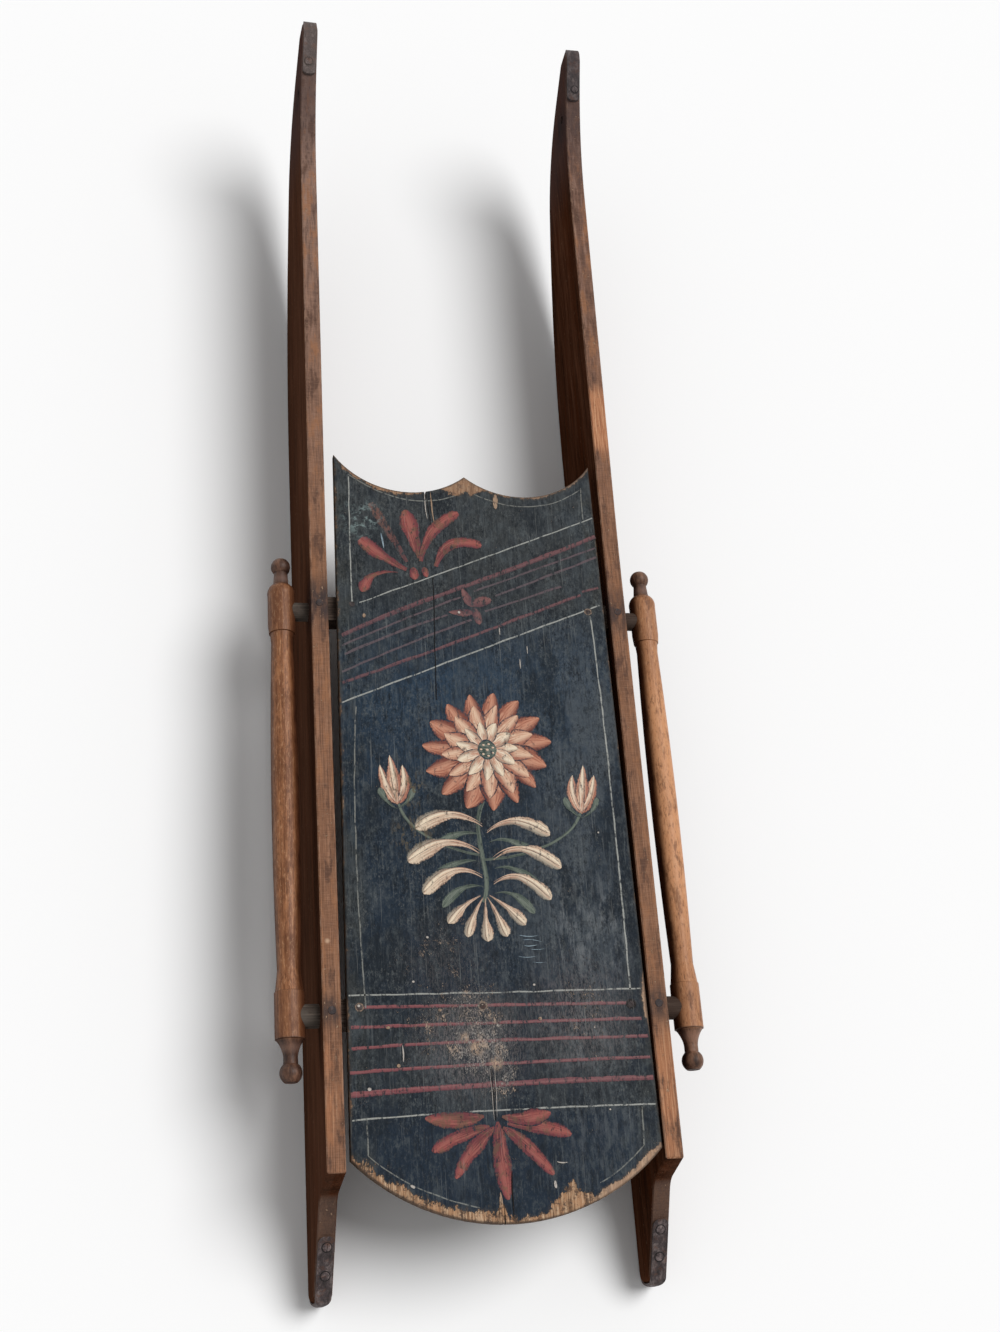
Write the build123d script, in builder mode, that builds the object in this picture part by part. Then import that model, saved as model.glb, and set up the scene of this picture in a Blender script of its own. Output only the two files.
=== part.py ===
from build123d import *
from math import cos, hypot, radians, sin, sqrt
import os

os.makedirs("parts", exist_ok=True)

# A child's wooden sled of about 1880: two board runners shod with iron, a thin painted deck on
# two crossbars, and a turned handrail along each side. Millimetres, +X to the rider's right,
# +Y the way it runs, +Z up. Lengths along the sled are measured from the rear crossbar and
# heights from the floor, and the origin lies on the floor below the middle of the length.

# Runner boards: each outline corner has a place along the sled, a height up the board and a
# radius. Both boards lean in towards their top edges.
runner_spacing = 279.0  # between the middles of the two top edges
runner_lean = 1.75  # degrees from upright
runner_thickness = 15.3
runner_edge_bevel = 1.0
runner_tip_r = 6.0  # of the nose's and heel's corners, seen from above
rail_height = 120.0  # floor to the straight top edge
rail_end_y, rail_end_r = -128.0, 2.5
heel_step = 12.5  # along the sled, from the top edge's end to the foot of the drop
heel_root_z, heel_root_r = 75.0, 20.0
heel_length = 77.5  # from the foot of the drop to the heel's end
heel_tip_z, heel_tip_r = 30.5, 10.0
heel_toe_r = 12.0
sweep_y, sweep_r = 717.0, 1000.0  # where the sole leaves the floor
rise_y, rise_z, rise_r = 933.0, 62.0, 180.0
nose_y, nose_rise, nose_r = 1021.5, 64.5, 12.0  # it rises above the straight top edge
brow_y, brow_rise, brow_r = 904.0, 15.6, 360.0
shoulder_y, shoulder_r = 436.5, 2300.0  # where the top edge starts to climb
rope_hole_back, rope_hole_rise, rope_hole_d = 85.5, 10.1, 9.0  # back from the nose's corner

# Iron shoes: a strap under each runner, turned over both of its ends
shoe_thickness = 3.0
shoe_width = 13.0
shoe_end_r = 5.0  # of the corners where the strap ends, seen from above
shoe_tip_r = 5.5  # of its corners round the nose and the heel, seen from above
shoe_front_lap = 79.5  # over the top edge, from the nose's corner
shoe_rear_lap = 48.0  # over the heel, from its end

# Deck: one thin board with a scalloped front and a bowed rear edge, and a gap beside each runner
deck_thickness = 8.0
deck_drop = 3.5  # below the runners' top edge
front_gap_left, front_gap_right = 10.0, 6.0
rear_gap_left, rear_gap_right = 4.2, 1.0
deck_front_y, deck_rear_y = 523.0, -118.4
scallop_depth, point_depth = 36.0, 17.5  # behind the front corners
deck_bow = 54.0  # of the rear edge, behind its corners
deck_edge_bevel = 0.8

# Splits in the deck's ends: place across it, length, width at the edge
rear_splits = ((-6.0, 18.0, 1.4),)
front_splits = ((-36.5, 28.0, 1.6), (31.0, 12.0, 1.2))

# Crossbars: square bars below the deck, with a round tenon and a thin spigot at each end
bar_width = 23.0
bar_height = 20.0
front_bar_y = 367.0
front_tenon_d, rear_tenon_d = 17.0, 20.0
spigot_d = 10.0
spigot_depth = 14.0  # into the handrail, from its skin

# Handrails: turned in one piece, with a ball, a neck and a barrel at each end
handrail_standoff = 32.0  # from the middle of a runner's top edge to its axis
barrel_front_r, barrel_rear_r = 12.3, 12.6
barrel_lip = 0.7  # the small step at each barrel's inner end
shaft_end_r, shaft_swell = 9.8, 2.2
neck_r = 6.0
front_ball_r, rear_ball_r = 8.8, 9.4
ball_tip_r = 5.4  # of the flat at each ball's end
front_ball_out, rear_ball_out = 44.4, 45.7  # from a bar to the ball's middle

fit_gap = 0.1  # between pieces that seat on or in each other

# Places worked out from the sizes above
lean = radians(runner_lean)
runner_x = runner_spacing / 2
handrail_x = runner_x + handrail_standoff
foot_z = shoe_width / 2 * sin(lean)  # of the middle of the sole, above its inner edge
board_height = (rail_height - foot_z) / cos(lean)
foot_x = runner_x + board_height * sin(lean)
inner_edge_x = runner_x - runner_thickness / 2 * cos(lean)
heel_root_y = rail_end_y - heel_step
heel_tip_y = heel_root_y - heel_length
nose_z = board_height + nose_rise
rope_hole_y = nose_y - rope_hole_back
rope_hole_z = board_height + rope_hole_rise
shoe_front_end_y = nose_y - shoe_front_lap
shoe_rear_end_y = heel_tip_y + shoe_rear_lap
deck_top_z = rail_height - deck_drop
deck_bottom_z = deck_top_z - deck_thickness
bar_z = deck_bottom_z - fit_gap - bar_height / 2
sole_z = shoe_thickness

# Columns: place along the sled, height up the board, corner radius
runner_corners = (
    (rail_end_y, board_height, rail_end_r),
    (heel_root_y, heel_root_z, heel_root_r),
    (heel_tip_y, heel_tip_z, heel_tip_r),
    (heel_tip_y, sole_z, heel_toe_r),
    (sweep_y, sole_z, sweep_r),
    (rise_y, rise_z, rise_r),
    (nose_y, nose_z, nose_r),
    (brow_y, board_height + brow_rise, brow_r),
    (shoulder_y, board_height, shoulder_r),
)


def runner_outline(stand_out=0.0):
    """Side outline of a runner board, or one that stands out from it all round."""
    with BuildSketch() as outline:
        with BuildLine():
            FilletPolyline(
                *((y, z) for y, z, _ in runner_corners),
                radius=[radius for _, _, radius in runner_corners],
                close=True,
            )
        make_face()
        if stand_out:
            offset(amount=stand_out)
    return outline.sketch


shod_box = runner_outline(shoe_thickness).bounding_box()
middle_y = (shod_box.min.X + shod_box.max.X) / 2


def side_plane(x):
    """Upright plane along the sled at x: its axes are +Y and +Z, its normal +X."""
    return Plane(origin=(x, -middle_y, 0), x_dir=(0, 1, 0), z_dir=(1, 0, 0))


def board_plane(side):
    """Middle plane of one leaning runner board: its axes run along and up the board."""
    return Plane(
        origin=(side * foot_x, -middle_y, foot_z),
        x_dir=(0, 1, 0),
        z_dir=(cos(lean), 0, side * sin(lean)),
    )


def plan_plane(side):
    """Plane under one leaning runner board, seen from above along the board."""
    board = board_plane(side)
    return Plane(origin=board.origin, x_dir=board.x_dir, z_dir=board.y_dir)


def save(part, name):
    """Label a finished piece and write it out."""
    part.label = name
    export_step(part, f"parts/{name}.step")


# Columns: place along the sled, tenon diameter, radius of the handrail's barrel there
bars = {
    "crossbar_rear": (0.0, rear_tenon_d, barrel_rear_r),
    "crossbar_front": (front_bar_y, front_tenon_d, barrel_front_r),
}


def ball_ends(middle_out, ball_r):
    """How far from the bar a ball's neck and tip lie, and the bow that makes it round."""
    neck_out = middle_out - sqrt(ball_r**2 - neck_r**2)
    tip_out = middle_out + sqrt(ball_r**2 - ball_tip_r**2)
    chord = hypot(tip_out - neck_out, neck_r - ball_tip_r)
    return neck_out, tip_out, ball_r - sqrt(ball_r**2 - chord**2 / 4)


rear_neck_out, rear_tip_out, rear_ball_bow = ball_ends(rear_ball_out, rear_ball_r)
front_neck_out, front_tip_out, front_ball_bow = ball_ends(front_ball_out, front_ball_r)

# Columns: place ahead of the bar, radius, how far the stretch that leads there is bowed out
rear_turning = (
    (-rear_tip_out, ball_tip_r, 0.0),
    (-rear_neck_out, neck_r, rear_ball_bow),
    (-32.5, neck_r, 0.0),
    (-19.3, barrel_rear_r - 1.2, -1.0),
    (-18.7, barrel_rear_r, 0.0),
    (20.0, barrel_rear_r, 0.0),
    (20.5, barrel_rear_r - barrel_lip, 0.0),
    (38.0, shaft_end_r, 0.0),
)
front_turning = (
    (-32.0, shaft_end_r, shaft_swell),
    (-23.0, barrel_front_r - 1.7, 0.0),
    (-22.3, barrel_front_r - barrel_lip, 0.0),
    (-14.0, barrel_front_r, 0.0),
    (15.0, barrel_front_r, 0.0),
    (26.0, neck_r + 1.9, 1.7),
    (26.4, neck_r + 1.1, 0.0),
    (front_neck_out, neck_r, 0.0),
    (front_tip_out, ball_tip_r, front_ball_bow),
)
turned_stations = rear_turning + tuple(
    (front_bar_y + ahead, radius, bow) for ahead, radius, bow in front_turning
)

for side, hand in ((-1, "left"), (1, "right")):
    # Runner board with eased edges and rounded tips, bored for the two tenons and the tow rope
    with BuildPart() as runner:
        with BuildSketch(board_plane(side)):
            add(runner_outline())
        extrude(amount=runner_thickness / 2, both=True)
        faces = runner.faces().sort_by(SortBy.AREA)[-2:]
        chamfer(faces.edges(), length=runner_edge_bevel)
        with BuildSketch(plan_plane(side)):
            with Locations((middle_y, 0)):
                length = shod_box.size.X - 2 * shoe_thickness
                RectangleRounded(length, runner_thickness, runner_tip_r)
        extrude(amount=2 * nose_z, mode=Mode.INTERSECT)
        with BuildSketch(side_plane(side * runner_x)):
            for bar_y, tenon_d, _ in bars.values():
                with Locations((bar_y, bar_z)):
                    Circle(tenon_d / 2 + fit_gap)
        extrude(amount=runner_thickness, both=True, mode=Mode.SUBTRACT)
        with BuildSketch(board_plane(side)):
            with Locations((rope_hole_y, rope_hole_z)):
                Circle(rope_hole_d / 2)
        extrude(amount=runner_thickness, both=True, mode=Mode.SUBTRACT)
    save(runner.part, f"runner_{hand}")

    # Iron shoe: the band round the outline, opened along the top edge, its ends rounded
    with BuildPart() as shoe:
        with BuildSketch(board_plane(side)):
            add(runner_outline(shoe_thickness))
            add(runner_outline(fit_gap / 2), mode=Mode.SUBTRACT)
            with BuildLine():
                Polyline(
                    (shoe_rear_end_y, board_height),
                    (shoe_rear_end_y, heel_tip_z),
                    (heel_root_y, heel_tip_z),
                    (sweep_y, heel_tip_z + shoe_thickness),
                    (shoe_front_end_y, rope_hole_z),
                    (shoe_front_end_y, nose_z),
                    (shoe_rear_end_y, nose_z),
                    close=True,
                )
            make_face(mode=Mode.SUBTRACT)
        extrude(amount=shoe_width / 2, both=True)
        ends = shoe.faces().filter_by(Axis.Y).sort_by(SortBy.AREA)[:2]
        corners = ends.edges().filter_by(lambda edge: edge.length < shoe_width / 2)
        fillet(corners, radius=shoe_end_r)
        with BuildSketch(plan_plane(side)):
            with Locations((middle_y, 0)):
                RectangleRounded(shod_box.size.X, shoe_width, shoe_tip_r)
        extrude(amount=2 * nose_z, mode=Mode.INTERSECT)
    save(shoe.part, f"shoe_{hand}")

    # Handrail: half of its side outline, turned about its own axis
    with BuildPart() as handrail:
        with BuildSketch(side_plane(side * handrail_x)):
            with BuildLine():
                here = (turned_stations[0][0], bar_z)
                for y, radius, bow in turned_stations:
                    there = (y, bar_z + radius)
                    if bow:
                        SagittaArc(here, there, bow)
                    else:
                        Line(here, there)
                    here = there
                Polyline(here, (here[0], bar_z), (turned_stations[0][0], bar_z))
            make_face()
        revolve(axis=Axis((side * handrail_x, 0, bar_z), (0, 1, 0)))
        for bar_y, _, barrel_r in bars.values():
            spigot_end = handrail_x - barrel_r + spigot_depth + fit_gap
            with BuildSketch(side_plane(side * spigot_end)):
                with Locations((bar_y, bar_z)):
                    Circle(spigot_d / 2 + fit_gap)
            extrude(amount=-side * 2 * barrel_r, mode=Mode.SUBTRACT)
    save(handrail.part, f"handrail_{hand}")

# Crossbars: each tenon is hollowed at its end to fit round the handrail's barrel
for name, (bar_y, tenon_d, barrel_r) in bars.items():
    with BuildPart() as bar:
        with BuildSketch(side_plane(0)):
            with Locations((bar_y, bar_z)):
                Rectangle(bar_width, bar_height)
        extrude(amount=foot_x, both=True)
        for side, kept in ((-1, Keep.TOP), (1, Keep.BOTTOM)):
            seat = runner_thickness / 2 + fit_gap
            split(bisect_by=board_plane(side).offset(-side * seat), keep=kept)
        with BuildSketch(side_plane(0)):
            with Locations((bar_y, bar_z)):
                Circle(tenon_d / 2)
        extrude(amount=handrail_x, both=True)
        with Locations(*((side * handrail_x, bar_y - middle_y, bar_z) for side in (-1, 1))):
            Cylinder(barrel_r + fit_gap, 2 * tenon_d, rotation=(90, 0, 0), mode=Mode.SUBTRACT)
        with BuildSketch(side_plane(0)):
            with Locations((bar_y, bar_z)):
                Circle(spigot_d / 2)
        extrude(amount=handrail_x - barrel_r + spigot_depth, both=True)
    save(bar.part, name)

# Deck: the board's outline seen from above, with its top edges eased and its ends split
with BuildPart() as deck:
    with BuildSketch(Plane(origin=(0, -middle_y, deck_bottom_z))):
        with BuildLine():
            front_left = Vector(front_gap_left - inner_edge_x, deck_front_y)
            front_right = Vector(inner_edge_x - front_gap_right, deck_front_y)
            rear_left = Vector(rear_gap_left - inner_edge_x, deck_rear_y)
            rear_right = Vector(inner_edge_x - rear_gap_right, deck_rear_y)
            point = (front_left + front_right) / 2 - Vector(0, point_depth)
            left_low = (front_left + point) / 2
            right_low = (front_right + point) / 2
            rear_low = (rear_left + rear_right) / 2 - Vector(0, deck_bow)
            scallop_y = deck_front_y - scallop_depth
            Line(rear_left, front_left)
            ThreePointArc(front_left, (left_low.X, scallop_y), point)
            ThreePointArc(point, (right_low.X, scallop_y), front_right)
            Line(front_right, rear_right)
            ThreePointArc(rear_right, rear_low, rear_left)
        make_face()
    extrude(amount=deck_thickness)
    chamfer(deck.faces().sort_by(Axis.Z)[-1].edges(), length=deck_edge_bevel)
    with BuildSketch(Plane(origin=(0, -middle_y, deck_bottom_z))):
        for splits, edge_y, inward in (
            (rear_splits, rear_low.Y, 1),
            (front_splits, scallop_y, -1),
        ):
            mouth_y = edge_y - inward * 2 * deck_edge_bevel
            for x, length, mouth in splits:
                with BuildLine():
                    Polyline(
                        (x - mouth / 2, mouth_y),
                        (x + mouth / 2, mouth_y),
                        (x, edge_y + inward * length),
                        close=True,
                    )
                make_face()
    extrude(amount=deck_thickness, mode=Mode.SUBTRACT)
save(deck.part, "deck")
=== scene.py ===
# %% [markdown]
# # A child's painted wooden sled
# This lesson dresses a finished model of an old sled. The solid pieces come from the drawing
# office, so their shapes are settled. The work here is what makes them look real: old
# varnished wood, rusted iron, dark deck paint worn to the wood, hand-painted stripes and
# petals, and the small screws. The boards could be modelled again here, but looks and drawing
# would soon disagree, so the script loads the drawing's own pieces and leaves their form alone.

import math

import bmesh
import bpy
from mathutils import Matrix, Vector, noise
from mathutils.bvhtree import BVHTree


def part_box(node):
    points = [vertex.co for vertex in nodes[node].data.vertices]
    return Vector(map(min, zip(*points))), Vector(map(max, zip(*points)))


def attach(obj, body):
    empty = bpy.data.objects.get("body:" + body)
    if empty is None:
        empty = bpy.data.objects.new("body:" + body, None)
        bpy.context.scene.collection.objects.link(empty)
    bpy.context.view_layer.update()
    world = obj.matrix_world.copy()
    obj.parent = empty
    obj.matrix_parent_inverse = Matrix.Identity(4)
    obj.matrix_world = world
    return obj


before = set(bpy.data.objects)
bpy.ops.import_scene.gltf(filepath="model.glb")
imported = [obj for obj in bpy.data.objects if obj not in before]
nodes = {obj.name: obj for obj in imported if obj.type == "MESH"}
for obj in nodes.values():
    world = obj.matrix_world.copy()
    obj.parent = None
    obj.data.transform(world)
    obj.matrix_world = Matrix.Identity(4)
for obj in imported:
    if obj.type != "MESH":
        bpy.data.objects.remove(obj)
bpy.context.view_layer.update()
print("solid pieces:", ", ".join(sorted(nodes)))

# %% [markdown]
# ## Where things are
# Everything on the sled is measured from the middle of its rear crossbar, because that is how
# a maker sets one out. Blender works in metres from the middle of the sled's length. Each
# place could be worked out by hand, but a small helper that turns a maker's millimetres into
# places in the scene does it once and for all.

# %% Measure the sled
MM = 0.001
board_x = 139.5  # middle of a runner board's top edge, out from the middle of the sled, in mm
front_bar_y = 367  # the front crossbar, forward of the rear one, in mm
deck_z = 116.5  # the painted top of the deck, up from the floor, in mm


def middle_of(name):
    low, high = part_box(name)
    return (Vector(low) + Vector(high)) / 2


rear_bar = middle_of("crossbar_rear")
front_bar = middle_of("crossbar_front")
deck_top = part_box("deck")[1][2]


def on_sled(x, y, z):
    """A place given in millimetres, with y measured from the rear crossbar."""
    return Vector((x * MM, rear_bar.y + y * MM, z * MM))


print("crossbars are", round((front_bar.y - rear_bar.y) / MM), "mm apart, named as", front_bar_y)
print("deck top is at", round(deck_top / MM, 1), "mm, named as", deck_z)

# %% [markdown]
# ## The camera
# The sled was photographed from above its left rear corner, standing close, so the noses run
# away from the camera. A longer lens from farther off would show as much of the sled, but it
# would draw the two ends at nearly one size. So the lens is matched as well as the place.

# %% Place the camera
camera = bpy.data.objects.new("camera", bpy.data.cameras.new("camera"))
bpy.context.scene.collection.objects.link(camera)
camera.data.sensor_width = 36.0
camera.data.lens = 46.11
camera.location = (-0.3248, -0.6839, 1.4993)
camera.rotation_euler = [math.radians(turn) for turn in (23.883, -12.437, -4.029)]
bpy.context.scene.camera = camera
print("lens", round(camera.data.lens, 1), "mm")

# %% [markdown]
# ## The floor
# The sled stands on a plain white floor, which keeps its shadow. A curved backdrop would do as well,
# but the camera looks down and never sees past a large flat sheet.

# %% Lay the floor
bpy.context.scene.view_settings.view_transform = "Standard"
floor_half = 6.0  # half the width of the floor, in metres


def plain_floor(size):
    bm = bmesh.new()
    bmesh.ops.create_grid(bm, x_segments=1, y_segments=1, size=size)
    mesh = bpy.data.meshes.new("floor")
    bm.to_mesh(mesh)
    bm.free()
    floor = bpy.data.objects.new("floor", mesh)
    bpy.context.scene.collection.objects.link(floor)
    return floor


floor = plain_floor(floor_half)
floor_paint = bpy.data.materials.new("floor_white")
floor_paint.use_nodes = True
floor_shader = floor_paint.node_tree.nodes["Principled BSDF"]
floor_shader.inputs["Base Color"].default_value = (0.98, 0.98, 0.98, 1)
floor_shader.inputs["Roughness"].default_value = 0.9
floor_shader.inputs["Specular IOR Level"].default_value = 0.0
floor.data.materials.append(floor_paint)
print("floor is", 2 * floor_half, "m across")

# %% [markdown]
# ## The light
# A studio would hang several soft lamps round a small thing like this. One broad soft sun from
# above and an even sky do the same with less to set, and give about as much light as makes a
# colour come out the way it is written. Light Path picks a whiter sky for the camera and for
# reflections, so that the background is white without more light on the sled.

# %% Hang the lights
sky = bpy.data.worlds.new("sky")
bpy.context.scene.world = sky
sky.use_nodes = True
sky_nodes, sky_links = sky.node_tree.nodes, sky.node_tree.links
sky_light = sky_nodes["Background"]
sky_light.inputs["Strength"].default_value = 0.38
sky_white = sky_nodes.new("ShaderNodeBackground")
sky_white.inputs["Strength"].default_value = 1.0
for background in (sky_light, sky_white):
    background.inputs["Color"].default_value = (1, 1, 1, 1)


def either(a, b):
    """1 where one of two kinds of ray is asked about."""
    made = sky_nodes.new("ShaderNodeMath")
    made.operation = "MAXIMUM"
    sky_links.new(a, made.inputs[0])
    sky_links.new(b, made.inputs[1])
    return made.outputs[0]


rays = sky_nodes.new("ShaderNodeLightPath").outputs
seen = either(either(rays["Is Camera Ray"], rays["Is Glossy Ray"]), rays["Is Transmission Ray"])
chosen_sky = sky_nodes.new("ShaderNodeMixShader")
sky_links.new(seen, chosen_sky.inputs[0])
sky_links.new(sky_light.outputs[0], chosen_sky.inputs[1])
sky_links.new(sky_white.outputs[0], chosen_sky.inputs[2])
sky_links.new(chosen_sky.outputs[0], sky_nodes["World Output"].inputs["Surface"])

sun = bpy.data.objects.new("sun", bpy.data.lights.new("sun", "SUN"))
bpy.context.scene.collection.objects.link(sun)
sun.data.energy = 2.25
sun.data.angle = math.radians(35)
sun.rotation_euler = (math.radians(-12), math.radians(28), 0)
print("sky", sky_light.inputs["Strength"].default_value, "sun", sun.data.energy)

# %% [markdown]
# ## A bench for finishes
# Every finish on the sled is a handful of noise patterns laid over each other. In the editor
# these would be nodes joined by hand, and a script could write out each node and wire. That
# would hide the idea, so this small bench makes them by short calls. It measures in
# millimetres from the rear crossbar, so a size in a call is a real size.

# %% Make the finish bench


class Bench:
    """A material in the making. Its calls return sockets that the next call can use."""

    def __init__(self, name):
        self.material = bpy.data.materials.new(name)
        self.material.use_nodes = True
        self.tree = self.material.node_tree
        self.shader = self.tree.nodes["Principled BSDF"]
        where = self.node("ShaderNodeTexCoord").outputs["Object"]
        shifted = self.vector("SUBTRACT", where, (0, rear_bar.y, 0))
        self.place = self.vector("SCALE", shifted, scale=1 / MM)
        parts = self.node("ShaderNodeSeparateXYZ", {0: self.place})
        self.x, self.y, self.z = parts.outputs

    def node(self, kind, inputs=None, **settings):
        made = self.tree.nodes.new(kind)
        for key, value in settings.items():
            setattr(made, key, value)
        for key, value in (inputs or {}).items():
            self.feed(made.inputs[key], value)
        return made

    def feed(self, socket, value):
        if isinstance(value, bpy.types.NodeSocket):
            self.tree.links.new(value, socket)
        elif isinstance(value, tuple) and len(value) == 3 and socket.type == "RGBA":
            socket.default_value = (*value, 1)
        else:
            socket.default_value = value

    def vector(self, operation, a, b=None, scale=None):
        made = self.node("ShaderNodeVectorMath", {0: a}, operation=operation)
        if b is not None:
            self.feed(made.inputs[1], b)
        if scale is not None:
            self.feed(made.inputs["Scale"], scale)
        return made.outputs["Value" if operation == "DISTANCE" else "Vector"]

    def math(self, operation, a, b=None):
        made = self.node("ShaderNodeMath", {0: a}, operation=operation)
        if b is not None:
            self.feed(made.inputs[1], b)
        return made.outputs[0]

    def most(self, *values):
        found = values[0]
        for value in values[1:]:
            found = self.math("MAXIMUM", found, value)
        return found

    def times(self, *values):
        found = values[0]
        for value in values[1:]:
            found = self.math("MULTIPLY", found, value)
        return found


print("the bench measures from y", round(rear_bar.y, 4), "m")

# %% [markdown]
# ## Patterns
# Old surfaces are never one colour. Photographs of wood could be wrapped round the boards, but
# they repeat and stretch. Noise worked out from the place in the board does neither. A fade
# turns a noise value into a soft edge, a ramp turns it into colours, and a dapple lays a light
# tone on the peaks of a pattern and a dark tone in its hollows, as wear and dirt do.

# %% Add the patterns


class Patterns(Bench):
    """The bench with its noises, fades and blends."""

    def fade(self, value, low, high, to=(0.0, 1.0)):
        """0 below low and 1 above high, or the other way round where low is the larger."""
        if low > high:
            low, high, to = high, low, (to[1], to[0])
        made = self.node(
            "ShaderNodeMapRange",
            {"Value": value, "From Min": low, "From Max": high, "To Min": to[0], "To Max": to[1]},
            interpolation_type="SMOOTHSTEP",
        )
        return made.outputs["Result"]

    def share(self, value, low, high):
        """How far a value has come from low to high, with no easing."""
        made = self.node("ShaderNodeMapRange", {"Value": value, "From Min": low, "From Max": high})
        return made.outputs["Result"]

    def mottle(self, size, detail=3.0, rough=0.55, bend=0.0, seed=0.0, place=None):
        """Noise whose patches are about size millimetres across, one number for each way."""
        moved = self.node("ShaderNodeMapping", {
            "Vector": place or self.place,
            "Location": (seed, seed * 1.7, seed * 0.6),
            "Scale": tuple(1 / across for across in size),
        })
        made = self.node("ShaderNodeTexNoise", {
            "Vector": moved.outputs[0],
            "Scale": 1.0,
            "Detail": detail,
            "Roughness": rough,
            "Distortion": bend,
        })
        return made.outputs[0]

    def blend(self, share, under, over):
        made = self.node("ShaderNodeMix", data_type="RGBA", blend_type="MIX", clamp_factor=True)
        self.feed(made.inputs[0], share)
        self.feed(made.inputs[6], under)
        self.feed(made.inputs[7], over)
        return made.outputs[2]

    def ramp(self, value, stops):
        """Colours or greys read off along a scale from 0 to 1."""
        made = self.node("ShaderNodeValToRGB", {0: value})
        points = made.color_ramp.elements
        while len(points) < len(stops):
            points.new(0.5)
        for point, (at, colour) in zip(points, stops):
            point.position = at
            point.color = (*colour, 1) if isinstance(colour, tuple) else (colour,) * 3 + (1,)
        return made.outputs[0]

    def dapple(self, colour, pattern, light, dark, where=None):
        """A light and a dark tone, each given as where it starts, where it is full, its
        strength and its colour."""
        for start, full, strength, tone in (light, dark):
            share = self.fade(pattern, start, full, to=(0, strength))
            if where is not None:
                share = self.times(where, share)
            colour = self.blend(share, colour, tone)
        return colour


print("patterns:", ", ".join(name for name in vars(Patterns) if not name.startswith("_")))

# %% [markdown]
# ## Places and the last coat
# Wear belongs to places: a stain sits round a nail, a rubbed spot where boots went. A mask
# could be painted by hand for each, but a distance from a named place gives the same soft spot
# and can be moved by one number. The last coat joins colour, roughness and a little relief to
# the shader. Old dry wood and worn paint reflect little, so the shine is low.

# %% Add places and the last coat


class Finish(Patterns):
    """The whole bench: patterns, places and the last coat."""

    def near(self, x, y, z, inner, outer):
        """1 within inner millimetres of a place, and 0 beyond outer."""
        away = self.vector("DISTANCE", self.place, (x, y, z))
        return self.fade(away, outer, inner)

    def on_deck(self, x, y, inner, outer, strength=1.0):
        """A soft spot on the deck's painted top."""
        found = self.near(x, y, deck_z, inner, outer)
        return found if strength == 1.0 else self.times(found, strength)

    def near_y(self, y, reach):
        """1 at a place along the sled, fading out within reach of it."""
        return self.fade(self.math("ABSOLUTE", self.math("SUBTRACT", self.y, y)), reach, 0.0)

    def finish(self, colour, roughness, height, depth, shine):
        """Join everything to the shader. The depth of the relief is in millimetres."""
        self.feed(self.shader.inputs["Base Color"], colour)
        self.feed(self.shader.inputs["Roughness"], roughness)
        self.feed(self.shader.inputs["Specular IOR Level"], shine)
        bump = self.node("ShaderNodeBump", {"Height": height, "Distance": depth * MM})
        self.tree.links.new(bump.outputs[0], self.shader.inputs["Normal"])
        return self.material


def give(material, *names):
    """Put one finish on solid pieces."""
    for name in names:
        slots = nodes[name].data.materials
        slots.clear()
        slots.append(material)
    print(material.name, "is on", ", ".join(names))


print("the bench is ready for", len(nodes), "solid pieces")

# %% [markdown]
# ## Grain
# The boards were sawn from plain hardwood, so long fibres run along them, with broader bands of
# early and late wood among them. A wave texture gives tidy rings, as on a log's end. Noise
# drawn out along the board looks more like a sawn face. A second helper tells which way a
# surface faces, because what faces up on a sled wears and what faces sideways doesn't.

# %% Draw the grain
fibre_length, band_length = 55, 220  # in mm along the board


def board_fibres(finish, fine=1.1, seed=0.0):
    return finish.mottle((fine, fibre_length, fine), detail=5, rough=0.65, seed=seed)


def board_bands(finish, seed=3.0):
    return finish.mottle((7, band_length, 9), detail=2, bend=0.4, seed=seed)


def facing(finish, direction, low, high):
    """0 to 1 as a surface turns towards a direction on the sled."""
    normal = finish.node("ShaderNodeNewGeometry").outputs["Normal"]
    turned = finish.node("ShaderNodeVectorMath", {0: normal, 1: direction}, operation="DOT_PRODUCT")
    return finish.fade(turned.outputs["Value"], low, high)


def facing_up(finish, low, high):
    return facing(finish, (0, 0, 1), low, high)


print("fibres run", fibre_length, "mm and bands", band_length, "mm along the board")

# %% [markdown]
# ## The runners' sides
# The boards were varnished, and a century and more has turned that coat dark. The sides are darker
# still as painted shade, because they face away from the light above. A flat dark brown would look
# like plastic, so three things are laid on it: the bands of the grain, long clouds where the board
# was handled or is grimy, and a little dust on the outer face. The inner face, under the deck, gets
# no dust and stays darker as painted shade.

# %% Colour the runners' sides
outer_face = (139, 143)  # from the board's middle to well outside it, in mm from the middle line


def runner_side(f, fibres, bands):
    colour = f.ramp(fibres, [
        (0.34, (0.022, 0.008, 0.004)), (0.5, (0.060, 0.022, 0.011)), (0.66, (0.112, 0.044, 0.023)),
    ])
    red_brown, handled, grimy = (0.062, 0.019, 0.008), (0.130, 0.054, 0.030), (0.012, 0.006, 0.004)
    colour = f.blend(f.fade(bands, 0.45, 0.66), colour, red_brown)
    clouds = f.mottle((50, 150, 15), detail=6, rough=0.7, seed=14)
    colour = f.dapple(colour, clouds, (0.48, 0.70, 0.65, handled), (0.48, 0.32, 0.65, grimy))
    # Dust lightens the outer face, and the inner face under the deck is left darker as painted shade.
    dust = f.times(f.fade(f.math("ABSOLUTE", f.x), *outer_face), 0.28)
    return f.blend(dust, colour, (0.090, 0.048, 0.032))


print("dust fades in from", outer_face[0], "to", outer_face[1], "mm")
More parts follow.
